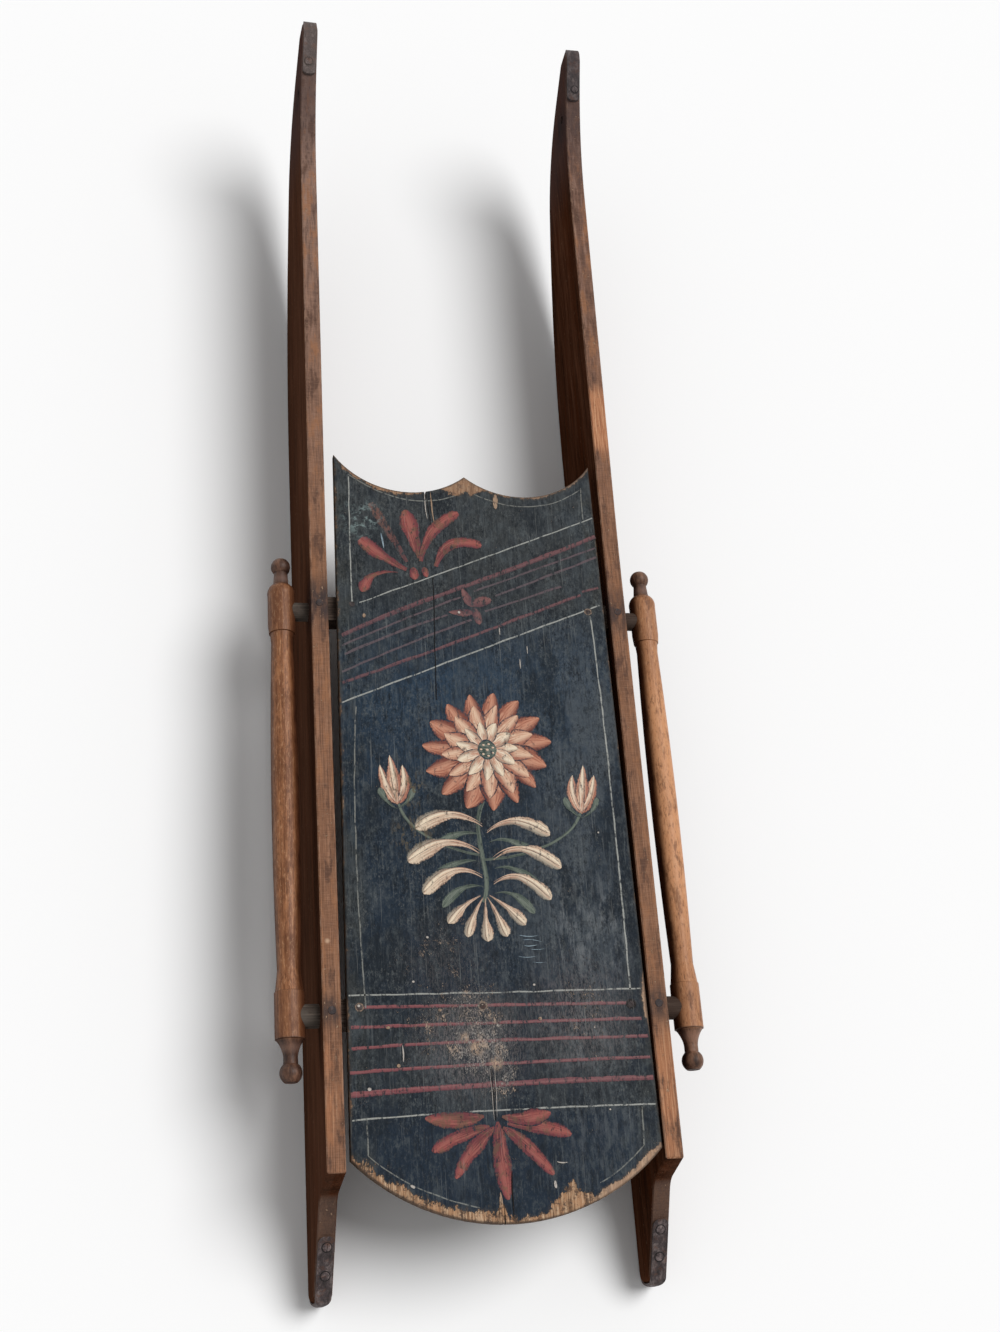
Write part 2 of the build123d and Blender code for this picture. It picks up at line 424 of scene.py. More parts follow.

# %% [markdown]
# ## The runners' top edges
# Hands, shoes and doorways have rubbed the top edges back to warm brown and, in places, to orange
# bare wood. The left nose is bleached and the right one dark, and the saw left fine marks across.
# Each of these could be a material of its own with its own faces, but hard borders would show, so all
# are blended in one colour by where they are. The sharp edges are palest, in short lengths: they are
# worn, and they carry a painted highlight.

# %% Colour the runners' top edges
# Columns: x, y, z, inner and outer reach in mm, where the patches start and are full, strength
rubbed_places = (
    (140, 572, 122, 24, 46, 0.32, 0.46, 1.0),
    (140, -80, 120, 20, 85, 0.38, 0.54, 0.8),
    (-140, -60, 120, 10, 75, 0.42, 0.60, 0.5),
)


def nose_tones(f, colour):
    """Bleach the left nose, darken the right one and streak both along the board."""
    towards_nose = f.share(f.y, 420, 800)
    bleached = f.times(towards_nose, f.fade(f.x, 50, -50), 0.75)
    darkened = f.times(towards_nose, f.fade(f.x, -50, 50), 0.7)
    colour = f.blend(bleached, colour, (0.235, 0.15, 0.118))
    colour = f.blend(darkened, colour, (0.125, 0.066, 0.050))
    streaks = f.mottle((3.5, 50, 4), detail=5, rough=0.7, seed=38)
    dry, damp = (0.33, 0.20, 0.15), (0.085, 0.048, 0.038)
    return f.dapple(
        colour, streaks, (0.51, 0.62, 0.6, dry), (0.49, 0.38, 0.75, damp), where=towards_nose
    )


def bare_spots(f, colour, fibres, patches):
    """Orange wood in the rubbed places, pale arrises that are worn and carry a painted highlight, and
    one fresh chip.
    """
    orange = f.ramp(fibres, [
        (0.36, (0.27, 0.105, 0.050)), (0.5, (0.43, 0.185, 0.090)), (0.62, (0.58, 0.31, 0.175)),
    ])
    rubbed = f.most(*[
        f.times(f.near(x, y, z, inner, outer), f.fade(patches, start, full), strength)
        for x, y, z, inner, outer, start, full, strength in rubbed_places
    ])
    colour = f.blend(rubbed, colour, orange)
    # Pale arrises: worn wood with a painted highlight along the top edges.
    from_middle = f.math("ABSOLUTE", f.math("SUBTRACT", f.math("ABSOLUTE", f.x), board_x))
    short_lengths = f.mottle((3, 14, 3), detail=4, rough=0.7, seed=25)
    worn = f.times(f.fade(from_middle, 5.6, 7.2), f.fade(short_lengths, 0.46, 0.6), 0.6)
    colour = f.blend(worn, colour, (0.42, 0.25, 0.165))
    chip = f.near(-141.5, 57.6, 123, 1.6, 4.2)
    return f.blend(chip, colour, (0.80, 0.56, 0.38))


def runner_top(f, fibres):
    colour = f.ramp(fibres, [
        (0.3, (0.10, 0.045, 0.025)), (0.5, (0.215, 0.102, 0.056)), (0.70, (0.34, 0.18, 0.11)),
    ])
    colour = nose_tones(f, colour)
    patches = f.mottle((12, 45, 12), detail=5, rough=0.68, seed=8)
    warm, brown = (0.30, 0.135, 0.065), (0.085, 0.042, 0.028)
    colour = f.dapple(colour, patches, (0.50, 0.62, 0.75, warm), (0.47, 0.36, 0.85, brown))
    sawn = f.mottle((9, 0.7, 3), detail=2, rough=0.5, seed=18)
    raised, cut = (0.36, 0.21, 0.14), (0.07, 0.035, 0.022)
    colour = f.dapple(colour, sawn, (0.52, 0.66, 0.18, raised), (0.48, 0.36, 0.20, cut))
    return bare_spots(f, colour, fibres, patches), patches, sawn


print("rubbed places on the runners:", len(rubbed_places))

# %% [markdown]
# ## Stains, and the runners' whole finish
# Iron and damp have stained the wood black round each tenon nail and in front of the nose straps. The
# heels stand in the dirt. The side and top colours are joined by which way the surface faces, so one
# finish serves both boards and follows every curve of the nose, with no faces to pick out by hand.
# The sides' darker colour is partly painted shade.

# %% Finish the runner boards
# Columns: x, y and reach in mm of the stain round each tenon nail and rope hole
stain_places = (
    (board_x, front_bar_y, 34), (-board_x, 0, 20), (board_x, 0, 22),
    (-board_x, 935, 24), (board_x, 930, 34),
)


def stained(f, colour, patches):
    near_strap = f.times(f.fade(f.y, 820, 925), f.fade(patches, 0.30, 0.5, to=(0.5, 1)), 0.7)
    colour = f.blend(near_strap, colour, (0.062, 0.040, 0.038))
    stains = f.near(-board_x, front_bar_y, 120, 6, 40)
    for x, y, reach in stain_places:
        stains = f.most(stains, f.near(x, y, 122, 4, reach))
    soot = f.mottle((8, 22, 9), detail=4, rough=0.65, seed=5)
    stains = f.times(stains, f.fade(soot, 0.36, 0.58, to=(0.40, 1)), 0.85)
    return f.blend(stains, colour, (0.030, 0.024, 0.025))


def runner_finish():
    f = Finish("runner_varnish")
    fibres = board_fibres(f)
    side = runner_side(f, fibres, board_bands(f))
    top, patches, sawn = runner_top(f, fibres)
    heel = f.times(f.fade(f.y, -134, -142), f.fade(f.z, 100, 84), 0.75)
    top = f.blend(heel, top, (0.060, 0.040, 0.033))
    # Faces turned up take the lighter top colour, and sides take the darker side colour, partly as
    # painted shade.
    upward = facing_up(f, 0.35, 0.8)
    colour = stained(f, f.blend(upward, side, top), patches)
    nicks = f.fade(f.mottle((2.0, 4.5, 2.0), detail=3, seed=21), 0.67, 0.71)
    nicks = f.times(nicks, f.math("ADD", f.times(upward, 0.7), 0.3))
    colour = f.blend(f.times(nicks, 0.75), colour, (0.40, 0.26, 0.17))
    rough = f.fade(fibres, 0.3, 0.7, to=(0.5, 0.68))
    height = f.math("ADD", fibres, f.times(patches, 0.8))
    height = f.math("ADD", height, f.times(sawn, upward, 0.5))
    height = f.math("SUBTRACT", height, nicks)
    return f.finish(colour, rough, height, depth=0.5, shine=f.fade(upward, 0, 1, to=(0.0, 0.12)))


give(runner_finish(), "runner_left", "runner_right")

# %% [markdown]
# ## Handrails
# The rails were turned from a lighter wood. Where hands held them the colour stays orange and light,
# more so on the right rail, which is lighter partly as painted light from the right. The top and
# outer side are lighter from hand wear and as painted highlight. The side by the runner keeps its
# dark varnished colour and is darker as painted shade. Two materials split along the rail would meet
# in a line, so a fade by which way the surface faces turns one into the other all round the turning.

# %% Colour the handrails' wood


def rail_wood(f, fibres, wear, pores):
    colour = f.ramp(fibres, [
        (0.34, (0.130, 0.046, 0.017)), (0.5, (0.225, 0.088, 0.037)), (0.66, (0.35, 0.155, 0.068)),
    ])
    gripped = f.times(f.fade(f.y, 30, 120), f.fade(f.y, 330, 270))
    # The right rail is lighter, partly from its own colour and partly as painted light from the
    # right.
    right = f.times(f.fade(f.x, -50, 50), f.math("ADD", f.times(gripped, 0.5), 0.45))
    colour = f.blend(f.times(right, 0.85), colour, (0.63, 0.30, 0.142))
    warm, brown = (0.42, 0.18, 0.075), (0.120, 0.042, 0.016)
    colour = f.dapple(colour, wear, (0.52, 0.64, 0.5, warm), (0.49, 0.36, 0.65, brown))
    pale, dark_pore = (0.60, 0.35, 0.19), (0.050, 0.018, 0.008)
    return f.dapple(colour, pores, (0.54, 0.66, 0.40, pale), (0.46, 0.34, 0.55, dark_pore))


def polished_and_lit(f):
    """Where a rail is worn by hands and lit: on top, and more to the outer side. Its lighter colour
    there is partly painted highlight.
    """
    on_left = facing(f, (-0.32, 0, 0.95), 0.30, 0.92)
    on_right = facing(f, (0.36, 0, 0.93), 0.10, 0.72)
    return f.blend(f.fade(f.x, -50, 50), on_left, on_right)


rail_low, rail_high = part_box("handrail_left")
print("each rail is", round((rail_high[1] - rail_low[1]) / MM), "mm long")

# %% [markdown]
# Dirt has gathered on the turned ends: in the necks, in the grooves beside the barrels and on
# the balls. Ambient occlusion would find such hollows by itself, but it is slow and is lost
# when a model is exported. The ends lie at known places along the rail, so a fade along y puts
# the dirt there.

# %% Finish the handrails
front_end, rear_end = (389, 395), (-17.5, -21)  # where barrel turns to neck, in mm along y
front_groove, rear_groove = (393.2, 1.8), (-18.8, 1.6)  # place and reach, in mm along y
front_neck, rear_neck = (398, 7), (-26, 6)  # place and reach, in mm along y


def end_grime(f, wear, pores):
    grime = f.ramp(wear, [
        (0.36, (0.014, 0.008, 0.007)), (0.5, (0.052, 0.028, 0.021)), (0.64, (0.16, 0.088, 0.062)),
    ])
    grime = f.blend(f.fade(pores, 0.48, 0.36, to=(0, 0.7)), grime, (0.016, 0.010, 0.009))
    necks = f.most(f.near_y(*front_neck), f.near_y(*rear_neck))
    return f.blend(f.times(necks, 0.55), grime, (0.195, 0.115, 0.090))


def handrail_finish():
    f = Finish("handrail_turned_wood")
    fibres = board_fibres(f, fine=1.2, seed=11)
    wear = f.mottle((9, 30, 9), detail=5, rough=0.7, seed=2)
    pores = f.mottle((1.5, 6, 1.5), detail=4, rough=0.7, seed=24)
    polish_and_highlight = polished_and_lit(f)
    # Faces turned away from the worn, lit side get a dark varnished colour that is partly painted
    # shade.
    varnish_and_shade = f.ramp(wear, [(0.35, (0.030, 0.010, 0.005)), (0.6, (0.085, 0.031, 0.014))])
    colour = f.blend(polish_and_highlight, varnish_and_shade, rail_wood(f, fibres, wear, pores))
    barrels = f.most(f.fade(f.y, 338, 346), f.fade(f.y, 22, 18))
    barrels = f.times(barrels, f.math("SUBTRACT", 1.0, f.times(f.fade(f.x, -50, 50), 0.7)), 0.35)
    colour = f.blend(barrels, colour, (0.105, 0.040, 0.019))
    ends = f.most(f.fade(f.y, *front_end), f.fade(f.y, *rear_end))
    ends = f.times(ends, f.fade(wear, 0.25, 0.6, to=(0.95, 0.75)))
    grooves = f.times(f.most(f.near_y(*front_groove), f.near_y(*rear_groove)), 0.5)
    colour = f.blend(f.most(ends, grooves), colour, end_grime(f, wear, pores))
    rough = f.fade(wear, 0.3, 0.7, to=(0.5, 0.36))
    height = f.math("ADD", fibres, f.times(pores, 0.5))
    return f.finish(colour, rough, height, depth=0.3, shine=f.fade(polish_and_highlight, 0, 1, to=(0.03, 0.22)))


give(handrail_finish(), "handrail_left", "handrail_right")

# %% [markdown]
# ## Crossbars
# The bars hide below the deck, where nobody varnished them again. They are dry and grey-brown. The
# boards' finish could be used again, but its grain would run along the sled, and a bar's grain runs
# across it. So the noise here is drawn out along x. Between board and rail a rounded tenon shows,
# greyer on the left and browner on the right, where the darker brown is painted shade between runner
# and rail.

# %% Finish the crossbars
past_board = (147, 151)  # from the board's outer face to clear of it, in mm from the middle line


def crossbar_finish():
    f = Finish("crossbar_dry_wood")
    fibres = f.mottle((45, 1.0, 1.0), detail=5, rough=0.65, seed=4)
    colour = f.ramp(fibres, [
        (0.32, (0.018, 0.012, 0.009)), (0.52, (0.075, 0.052, 0.040)), (0.70, (0.16, 0.12, 0.095)),
    ])
    dust = f.mottle((20, 15, 15), detail=4, rough=0.6, seed=6)
    dusty, dark = (0.13, 0.105, 0.09), (0.022, 0.015, 0.012)
    colour = f.dapple(colour, dust, (0.5, 0.7, 0.5, dusty), (0.45, 0.3, 0.6, dark))
    tenon = f.fade(f.math("ABSOLUTE", f.x), *past_board)
    tenon = f.times(tenon, f.fade(dust, 0.35, 0.5, to=(0.4, 1)))
    grey, brown = (0.105, 0.092, 0.078), (0.046, 0.028, 0.021)
    colour = f.blend(f.times(tenon, f.fade(f.x, 0, -20), 0.55), colour, grey)
    # On the right the tenon is darkened as painted shade between runner and rail.
    colour = f.blend(f.times(tenon, f.fade(f.x, 0, 20), 0.7), colour, brown)
    return f.finish(colour, 0.75, fibres, depth=0.5, shine=0.08)


give(crossbar_finish(), "crossbar_front", "crossbar_rear")

# %% [markdown]
# ## Iron shoes
# A blacksmith bent these straps hot round the boards. They have a dull grey-purple skin with
# brown rust and small pits. A fully metallic shader would mirror the sky, which rust doesn't,
# and a plain one would look like painted wood, so it is set to be partly metallic. The same
# recipe, darkened or lightened as a whole, serves the screws and nails later.

# %% Finish the iron
strap_front = (880, 900)  # from the board to the turned-over nose strap, in mm along y


def iron_finish(name="shoe_rusted_iron", dark=1.0):
    f = Finish(name)
    skin = f.mottle((5, 10, 5), detail=6, rough=0.7, seed=3)
    tones = (
        (0.33, (0.014, 0.010, 0.010)), (0.5, (0.056, 0.042, 0.042)), (0.64, (0.165, 0.132, 0.126)),
    )
    colour = f.ramp(skin, [(at, tuple(dark * part for part in tone)) for at, tone in tones])
    rust = f.fade(f.mottle((8, 8, 8), detail=5, rough=0.7, seed=9), 0.50, 0.64)
    colour = f.blend(f.times(rust, 0.6), colour, (0.10 * dark, 0.045 * dark, 0.028 * dark))
    pits = f.mottle((1.0, 1.0, 1.0), detail=3, rough=0.6, seed=14)
    colour = f.blend(f.fade(pits, 0.46, 0.32, to=(0, 0.7)), colour, (0.012, 0.009, 0.009))
    # The left nose strap is the paler one
    left_strap = f.times(f.fade(f.y, *strap_front), f.fade(f.x, 20, -20), 0.26)
    right_strap = f.times(f.fade(f.y, *strap_front), f.fade(f.x, -20, 20), 0.30)
    colour = f.blend(left_strap, colour, (0.17, 0.13, 0.108))
    colour = f.blend(right_strap, colour, (0.014, 0.010, 0.012))
    f.shader.inputs["Metallic"].default_value = 0.2
    height = f.math("ADD", f.times(pits, 0.6), skin)
    rough = f.fade(skin, 0.3, 0.7, to=(0.5, 0.7))
    return f.finish(colour, rough, height, depth=0.7, shine=0.25)


give(iron_finish(), "shoe_left", "shoe_right")

# %% [markdown]
# ## The deck's edges
# The deck is one thin board under dark blue-black paint. Along its rear curve and front
# scallops the paint has gone down to bare wood. A loss that follows an edge needs to know how
# far each point is from that edge. It could be baked into the mesh, but the big flat face has
# no points inside it to hold such a value. Both ends of the board are arcs, so the distance to
# an arc's centre, less its radius, tells it exactly.

# %% Measure the deck's edges
rear_left, rear_low, rear_right = (-127.6, -118.4), (1.6, -172.4), (130.9, -118.4)
front_left, left_low, front_point = (-121.9, 523.0), (-59.9, 487.0), (2.0, 505.5)
right_low, front_right = (63.9, 487.0), (125.9, 523.0)


def circle_through(a, b, c):
    """Centre and radius of the circle through three places on the deck."""
    a, b, c = (Vector(p) for p in (a, b, c))
    ab, ac = b - a, c - a
    turn = 2 * (ab.x * ac.y - ab.y * ac.x)
    x = ac.y * ab.length_squared - ab.y * ac.length_squared
    y = ab.x * ac.length_squared - ac.x * ab.length_squared
    out = Vector((x, y)) / turn
    return a + out, out.length


rear_arc = circle_through(rear_left, rear_low, rear_right)
left_arc = circle_through(front_left, left_low, front_point)
right_arc = circle_through(front_point, right_low, front_right)
print("rear arc radius", round(rear_arc[1]), "mm, scallop radius", round(left_arc[1]), "mm")

# %% [markdown]
# The same distances are now written as nodes, which work them out at each point of the deck.
# The rear edge is measured from its arc only behind the arc's centre, because ahead of it the
# straight sides are nearer. The sides draw together a little towards the front, so each is a
# line with a small slope and not the side of a box.

# %% Find how far each point is from the edges
left_edge, left_slope = -126.5, 0.009  # x in mm beside the rear bar, and its change with y
right_edge, right_slope = 130.0, 0.0079
far_off = 1000  # mm, past any point of the sled


def edge_distances(f):
    flat = f.vector("MULTIPLY", f.place, (1, 1, 0))
    behind = f.vector("MINIMUM", flat, (far_off, rear_arc[0].y, 0))

    def from_centre(place, arc):
        return f.vector("DISTANCE", place, (arc[0].x, arc[0].y, 0))

    rear = f.math("SUBTRACT", rear_arc[1], from_centre(behind, rear_arc))
    left = f.math("SUBTRACT", from_centre(flat, left_arc), left_arc[1])
    right = f.math("SUBTRACT", from_centre(flat, right_arc), right_arc[1])
    front = f.math("MINIMUM", left, right)
    left_side = f.math("SUBTRACT", f.x, f.math("ADD", f.times(f.y, left_slope), left_edge))
    right_line = f.math("SUBTRACT", right_edge, f.times(f.y, right_slope))
    right_side = f.math("SUBTRACT", right_line, f.x)
    return rear, front, f.math("MINIMUM", left_side, right_side)


print("deck is", right_edge - left_edge, "mm wide at the rear crossbar")

# %% [markdown]
# ## The dark coat
# The paint is built up in the order in which it came about: the dark coat, then striping, then
# scuffs over both, and last the bare wood where all of it is gone. This first recipe is the
# coat's broad tones: bluest in the middle panel, greyer towards the front, greener in the
# margins, and chalky where sun and rain got at it. A gradient alone would look sprayed on, so
# clouds of noise break up each change.

# %% Mix the coat's broad tones
margin_x = (104, 116)  # where the frame lines turn to margin, in mm out from the deck's middle
deck_middle = 2  # the deck's middle lies this far right of the sled's, in mm


def coat_tones(f, cloud):
    colour = f.ramp(f.share(f.y, -180, 520), [
        (0.0, (0.010, 0.019, 0.033)), (0.28, (0.010, 0.018, 0.030)), (0.5, (0.012, 0.023, 0.039)),
        (0.68, (0.019, 0.039, 0.067)), (0.8, (0.031, 0.037, 0.043)), (1.0, (0.034, 0.040, 0.047)),
    ])
    # Outside the frame lines, and in both striped bands, the coat is duller and greener
    margin = f.fade(f.math("ABSOLUTE", f.math("SUBTRACT", f.x, deck_middle)), *margin_x)
    rear_band = f.times(f.fade(f.y, 16, 6), f.fade(f.y, -90, -80), 0.7)
    front_band = f.fade(f.math("SUBTRACT", f.y, f.times(f.x, 0.42)), 318, 330)
    dull = f.times(f.most(margin, rear_band, f.times(front_band, 0.6)), f.fade(cloud, 0.40, 0.56))
    colour = f.blend(f.times(dull, 0.65), colour, (0.034, 0.034, 0.028))
    # Weather has greyed the right side of the middle panel
    bleached = f.times(f.fade(f.x, 0, 85), f.fade(f.y, 0, 80), f.fade(f.y, 380, 250))
    bleached = f.times(bleached, f.fade(cloud, 0.38, 0.56), 0.8)
    return f.blend(bleached, colour, (0.066, 0.078, 0.090))


def chalked(f, colour):
    """Pale chalk in streaks along the grain, round four places on the right."""
    chalk = f.mottle((6, 24, 8), detail=6, rough=0.8, seed=91)
    chalky = f.most(
        f.on_deck(86, 66, 10, 74), f.on_deck(34, 40, 4, 56, 0.35),
        f.on_deck(66, -24, 6, 56, 0.9), f.on_deck(84, -104, 10, 60, 0.4),
    )
    return f.blend(f.times(chalky, f.fade(chalk, 0.47, 0.61), 0.7), colour, (0.170, 0.182, 0.192))


print("margins start", margin_x[0], "mm out from the deck's middle")

# %% [markdown]
# The coat's small marks come next: clouds, blots, drag marks of the brush along the board, and
# grit rubbed into it. One fine noise over the whole deck would look even and new. Four noises
# of different sizes, two of them stronger in some places than in others, look handled.

# %% Mix the dark coat


def dark_coat(f):
    cloud = f.mottle((38, 85, 40), detail=5, rough=0.62, seed=1)
    drag = f.mottle((2.4, 30, 5), detail=6, rough=0.8, seed=4)
    blot = f.mottle((8, 13, 9), detail=6, rough=0.75, seed=64)
    grit = f.mottle((1.9, 3.8, 2), detail=5, rough=0.85, seed=12)
    dragged = f.mottle((26, 34, 20), detail=4, rough=0.6, seed=62)
    dragged = f.fade(dragged, 0.40, 0.60, to=(0.25, 1))
    gritty = f.fade(f.mottle((30, 55, 30), detail=4, rough=0.6, seed=81), 0.42, 0.58, to=(0.4, 1))
    gritty = f.times(gritty, f.fade(f.y, -100, -84, to=(0.45, 1)))
    # Columns: the pattern, its light tone, its dark tone, and where it shows
    layers = (
        (cloud, (0.52, 0.66, 0.50, (0.046, 0.058, 0.070)),
         (0.49, 0.36, 0.65, (0.008, 0.011, 0.014)), None),
        (blot, (0.52, 0.63, 0.45, (0.070, 0.082, 0.088)),
         (0.48, 0.38, 0.55, (0.006, 0.009, 0.013)), None),
        (drag, (0.51, 0.64, 0.60, (0.078, 0.090, 0.096)),
         (0.49, 0.37, 0.80, (0.005, 0.008, 0.012)), dragged),
        (grit, (0.53, 0.64, 0.62, (0.120, 0.128, 0.124)),
         (0.49, 0.38, 0.85, (0.003, 0.005, 0.007)), gritty),
    )
    colour = chalked(f, coat_tones(f, cloud))
    for pattern, light, dark, where in layers:
        colour = f.dapple(colour, pattern, light, dark, where)
    return colour, drag


print("the dark coat spans", round(rear_low[1]), "to", round(front_right[1]), "mm along the deck")

# %% [markdown]
# ## Bare wood
# Where the paint is gone the board is orange-brown, greyed where dirt has got in, and duller at
# the front, which stood in the weather. The runners' grain could be used again, but this is a
# softer, paler wood, so it has its own stops. The fibres are shared with the paint above, so
# that the grain runs on below it.

# %% Mix the bare wood


def bare_wood(f, fibres):
    grain = f.ramp(fibres, [
        (0.38, (0.10, 0.055, 0.032)), (0.48, (0.30, 0.175, 0.10)), (0.60, (0.56, 0.39, 0.255)),
    ])
    weathered = f.mottle((9, 12, 9), detail=5, rough=0.7, seed=28)
    grain = f.blend(f.fade(weathered, 0.48, 0.60, to=(0, 0.7)), grain, (0.40, 0.215, 0.115))
    dirt = f.mottle((5, 5, 5), detail=5, rough=0.75, seed=27)
    grain = f.blend(f.fade(dirt, 0.51, 0.40, to=(0, 0.9)), grain, (0.075, 0.050, 0.038))
    at_front, at_right = f.times(f.fade(f.y, 440, 470), 0.55), f.times(f.fade(f.x, 60, 84), 0.5)
    grain = f.blend(at_front, grain, (0.235, 0.14, 0.092))
    return f.blend(at_right, grain, (0.40, 0.275, 0.20))


print("bare wood can show from y", round(rear_low[1]), "mm")

# %% [markdown]
# ## Scuffs
# Boots have rubbed specks of paint off the rear of the deck, most of all behind the middle of
# its stripes. Each speck could be a little mesh, but there are thousands. A fine noise is cut
# at a level instead, and the level drops near the rubbed places, so more specks come through.

# %% Rub specks off the paint
speck_level = 0.71  # the noise value above which a speck of paint is gone on the untouched deck


def scuffs(f, blotch):
    specks = f.mottle((0.95, 2.0, 2), detail=4, rough=0.85, seed=41)
    rubbed = f.most(
        f.on_deck(-17, -32, 12, 52), f.on_deck(-50, -12, 4, 52, 0.62),
        f.on_deck(-3, -54, 4, 36), f.on_deck(-24, 2, 4, 40, 0.8),
        f.on_deck(-44, 44, 2, 60, 0.45), f.on_deck(70, -10, 2, 66, 0.35),
    )
    rubbed = f.times(rubbed, f.fade(blotch, 0.34, 0.54, to=(0.55, 1)))
    level = f.math("SUBTRACT", speck_level, f.times(rubbed, 0.245))
    level = f.math("SUBTRACT", level, f.times(f.fade(blotch, 0.56, 0.66), 0.09))
    return f.fade(f.math("SUBTRACT", specks, level), -0.02, 0.04)


print("specks come through above", speck_level)

# %% [markdown]
# ## Paint lost at the edges
# How far the loss reaches in from the rear edge changes from left to right, so it is read off a
# ramp across the board: hardly at all near the middle, and most right of it. A ragged noise in
# millimetres is added to the distance from the edge, which tears the border of the paint. A
# painted mask would give one fixed border, and this one follows if the board is redrawn.

# %% Lose the paint at the edges
deepest_loss = 29  # mm in from the rear edge, where the ramp below says 1
# Columns: share of the way from x -130 to x 130, and share of the deepest loss
rear_loss = (
    (0.01, 0.06), (0.09, 0.22), (0.19, 0.19), (0.28, 0.24), (0.38, 0.25), (0.45, 0.26),
    (0.47, 0.56), (0.49, 0.13), (0.52, 0.10), (0.57, 0.20), (0.615, 0.34), (0.66, 0.60),
    (0.70, 0.68), (0.73, 0.48), (0.765, 0.25), (0.85, 0.15), (0.95, 0.19), (1.0, 0.15),
)


def paint_loss(f, torn):
    """Millimetres by which the loss at an edge reaches past each point."""
    rear, front, side = edge_distances(f)
    torn = f.times(torn, f.fade(f.x, 64, 80, to=(1, 0.5)))
    reach = f.times(f.ramp(f.share(f.x, -130, 130), rear_loss), deepest_loss)
    at_rear = f.math("SUBTRACT", reach, f.math("ADD", rear, torn))
    left_scallop = f.times(f.fade(f.x, -45, -80), f.fade(f.x, -114, -100), 4.0)
    point = f.fade(f.math("ABSOLUTE", f.x), 24, 4, to=(1.4, 14))
    front_reach = f.most(point, left_scallop)
    at_front = f.math("SUBTRACT", front_reach, f.math("ADD", front, f.times(torn, 0.55)))
    side_reach = f.on_deck(128, 4, 6, 34, 3.5)
    at_side = f.math("SUBTRACT", side_reach, f.math("ADD", side, f.times(torn, 0.4)))
    nearest = f.math("MINIMUM", f.math("MINIMUM", rear, front), side)
    return f.most(at_rear, at_front, at_side), nearest


def ragged(f):
    """A tearing of the border in millimetres, fine along the grain and coarse across it."""
    comb = f.math("SUBTRACT", f.mottle((3.2, 8, 6), detail=5, rough=0.8, seed=33), 0.5)
    sweep = f.math("SUBTRACT", f.mottle((13, 13, 10), detail=3, rough=0.6, seed=36), 0.5)
    return f.math("ADD", f.times(comb, 20), f.times(sweep, 22))


print("the loss reaches at most", round(deepest_loss * max(share for _, share in rear_loss)), "mm in")

# %% [markdown]
# ## Dust, scratches and smudges
# Between the big losses lie small ones: dusty streaks and torn spots among the scuffs, long
# scratches down the grain, brown flakes on the left of the middle panel and a blue-green smudge
# at the left front. They could be strokes like the chips, but their borders are too ragged for
# that. So each is a noise cut to its own size and shown round its own place.

# %% Add the small wear


def small_wear(f, colour):
    dust = f.most(
        f.on_deck(-22, -28, 10, 66), f.on_deck(-40, 36, 5, 60, 0.3), f.on_deck(72, -8, 5, 70, 0.8)
    )
    streaks = f.fade(f.mottle((1.3, 5.5, 2), detail=4, rough=0.85, seed=73), 0.44, 0.62)
    colour = f.blend(f.times(dust, streaks, 0.6), colour, (0.225, 0.195, 0.190))
    torn_spots = f.most(
        f.on_deck(-20.5, -33, 1.5, 8.5), f.on_deck(-4.6, -46, 1, 8), f.on_deck(-30, -24, 0.5, 6)
    )
    ragged_spots = f.fade(f.mottle((1.5, 5, 2), detail=4, rough=0.8, seed=57), 0.43, 0.53)
    colour = f.blend(f.times(torn_spots, ragged_spots, 0.9), colour, (0.50, 0.355, 0.255))
    scratch = f.fade(f.mottle((0.7, 60, 4), detail=2, seed=47), 0.66, 0.72)
    colour = f.blend(f.times(scratch, 0.35), colour, (0.24, 0.25, 0.24))
    flakes = f.fade(f.mottle((4, 9, 4), detail=5, rough=0.72, seed=51), 0.53, 0.58)
    flaked = f.most(f.on_deck(-68, 192, 4, 26), f.on_deck(-64, 150, 4, 26))
    colour = f.blend(f.times(flaked, flakes, 0.75), colour, (0.115, 0.090, 0.055))
    smudge = f.fade(f.mottle((7, 6, 4), detail=5, rough=0.7, seed=54), 0.50, 0.62)
    return f.blend(f.times(f.on_deck(-98, 456, 3, 28), smudge, 0.85), colour, (0.20, 0.26, 0.255))


print("small wear is laid round places on a deck top at", deck_z, "mm")

# %% [markdown]
# ## The deck's whole finish
# The layers are now put together, with a gap left for a stroke of striping between the coat and
# the wear. The same recipe serves the board and every painted stroke on it, so a stroke wears
# away exactly where the board beside it does. Separate recipes would be shorter, but a stripe
# would then run unbroken over bare wood. The board's own edges show end grain.

# %% Give the deck its finish


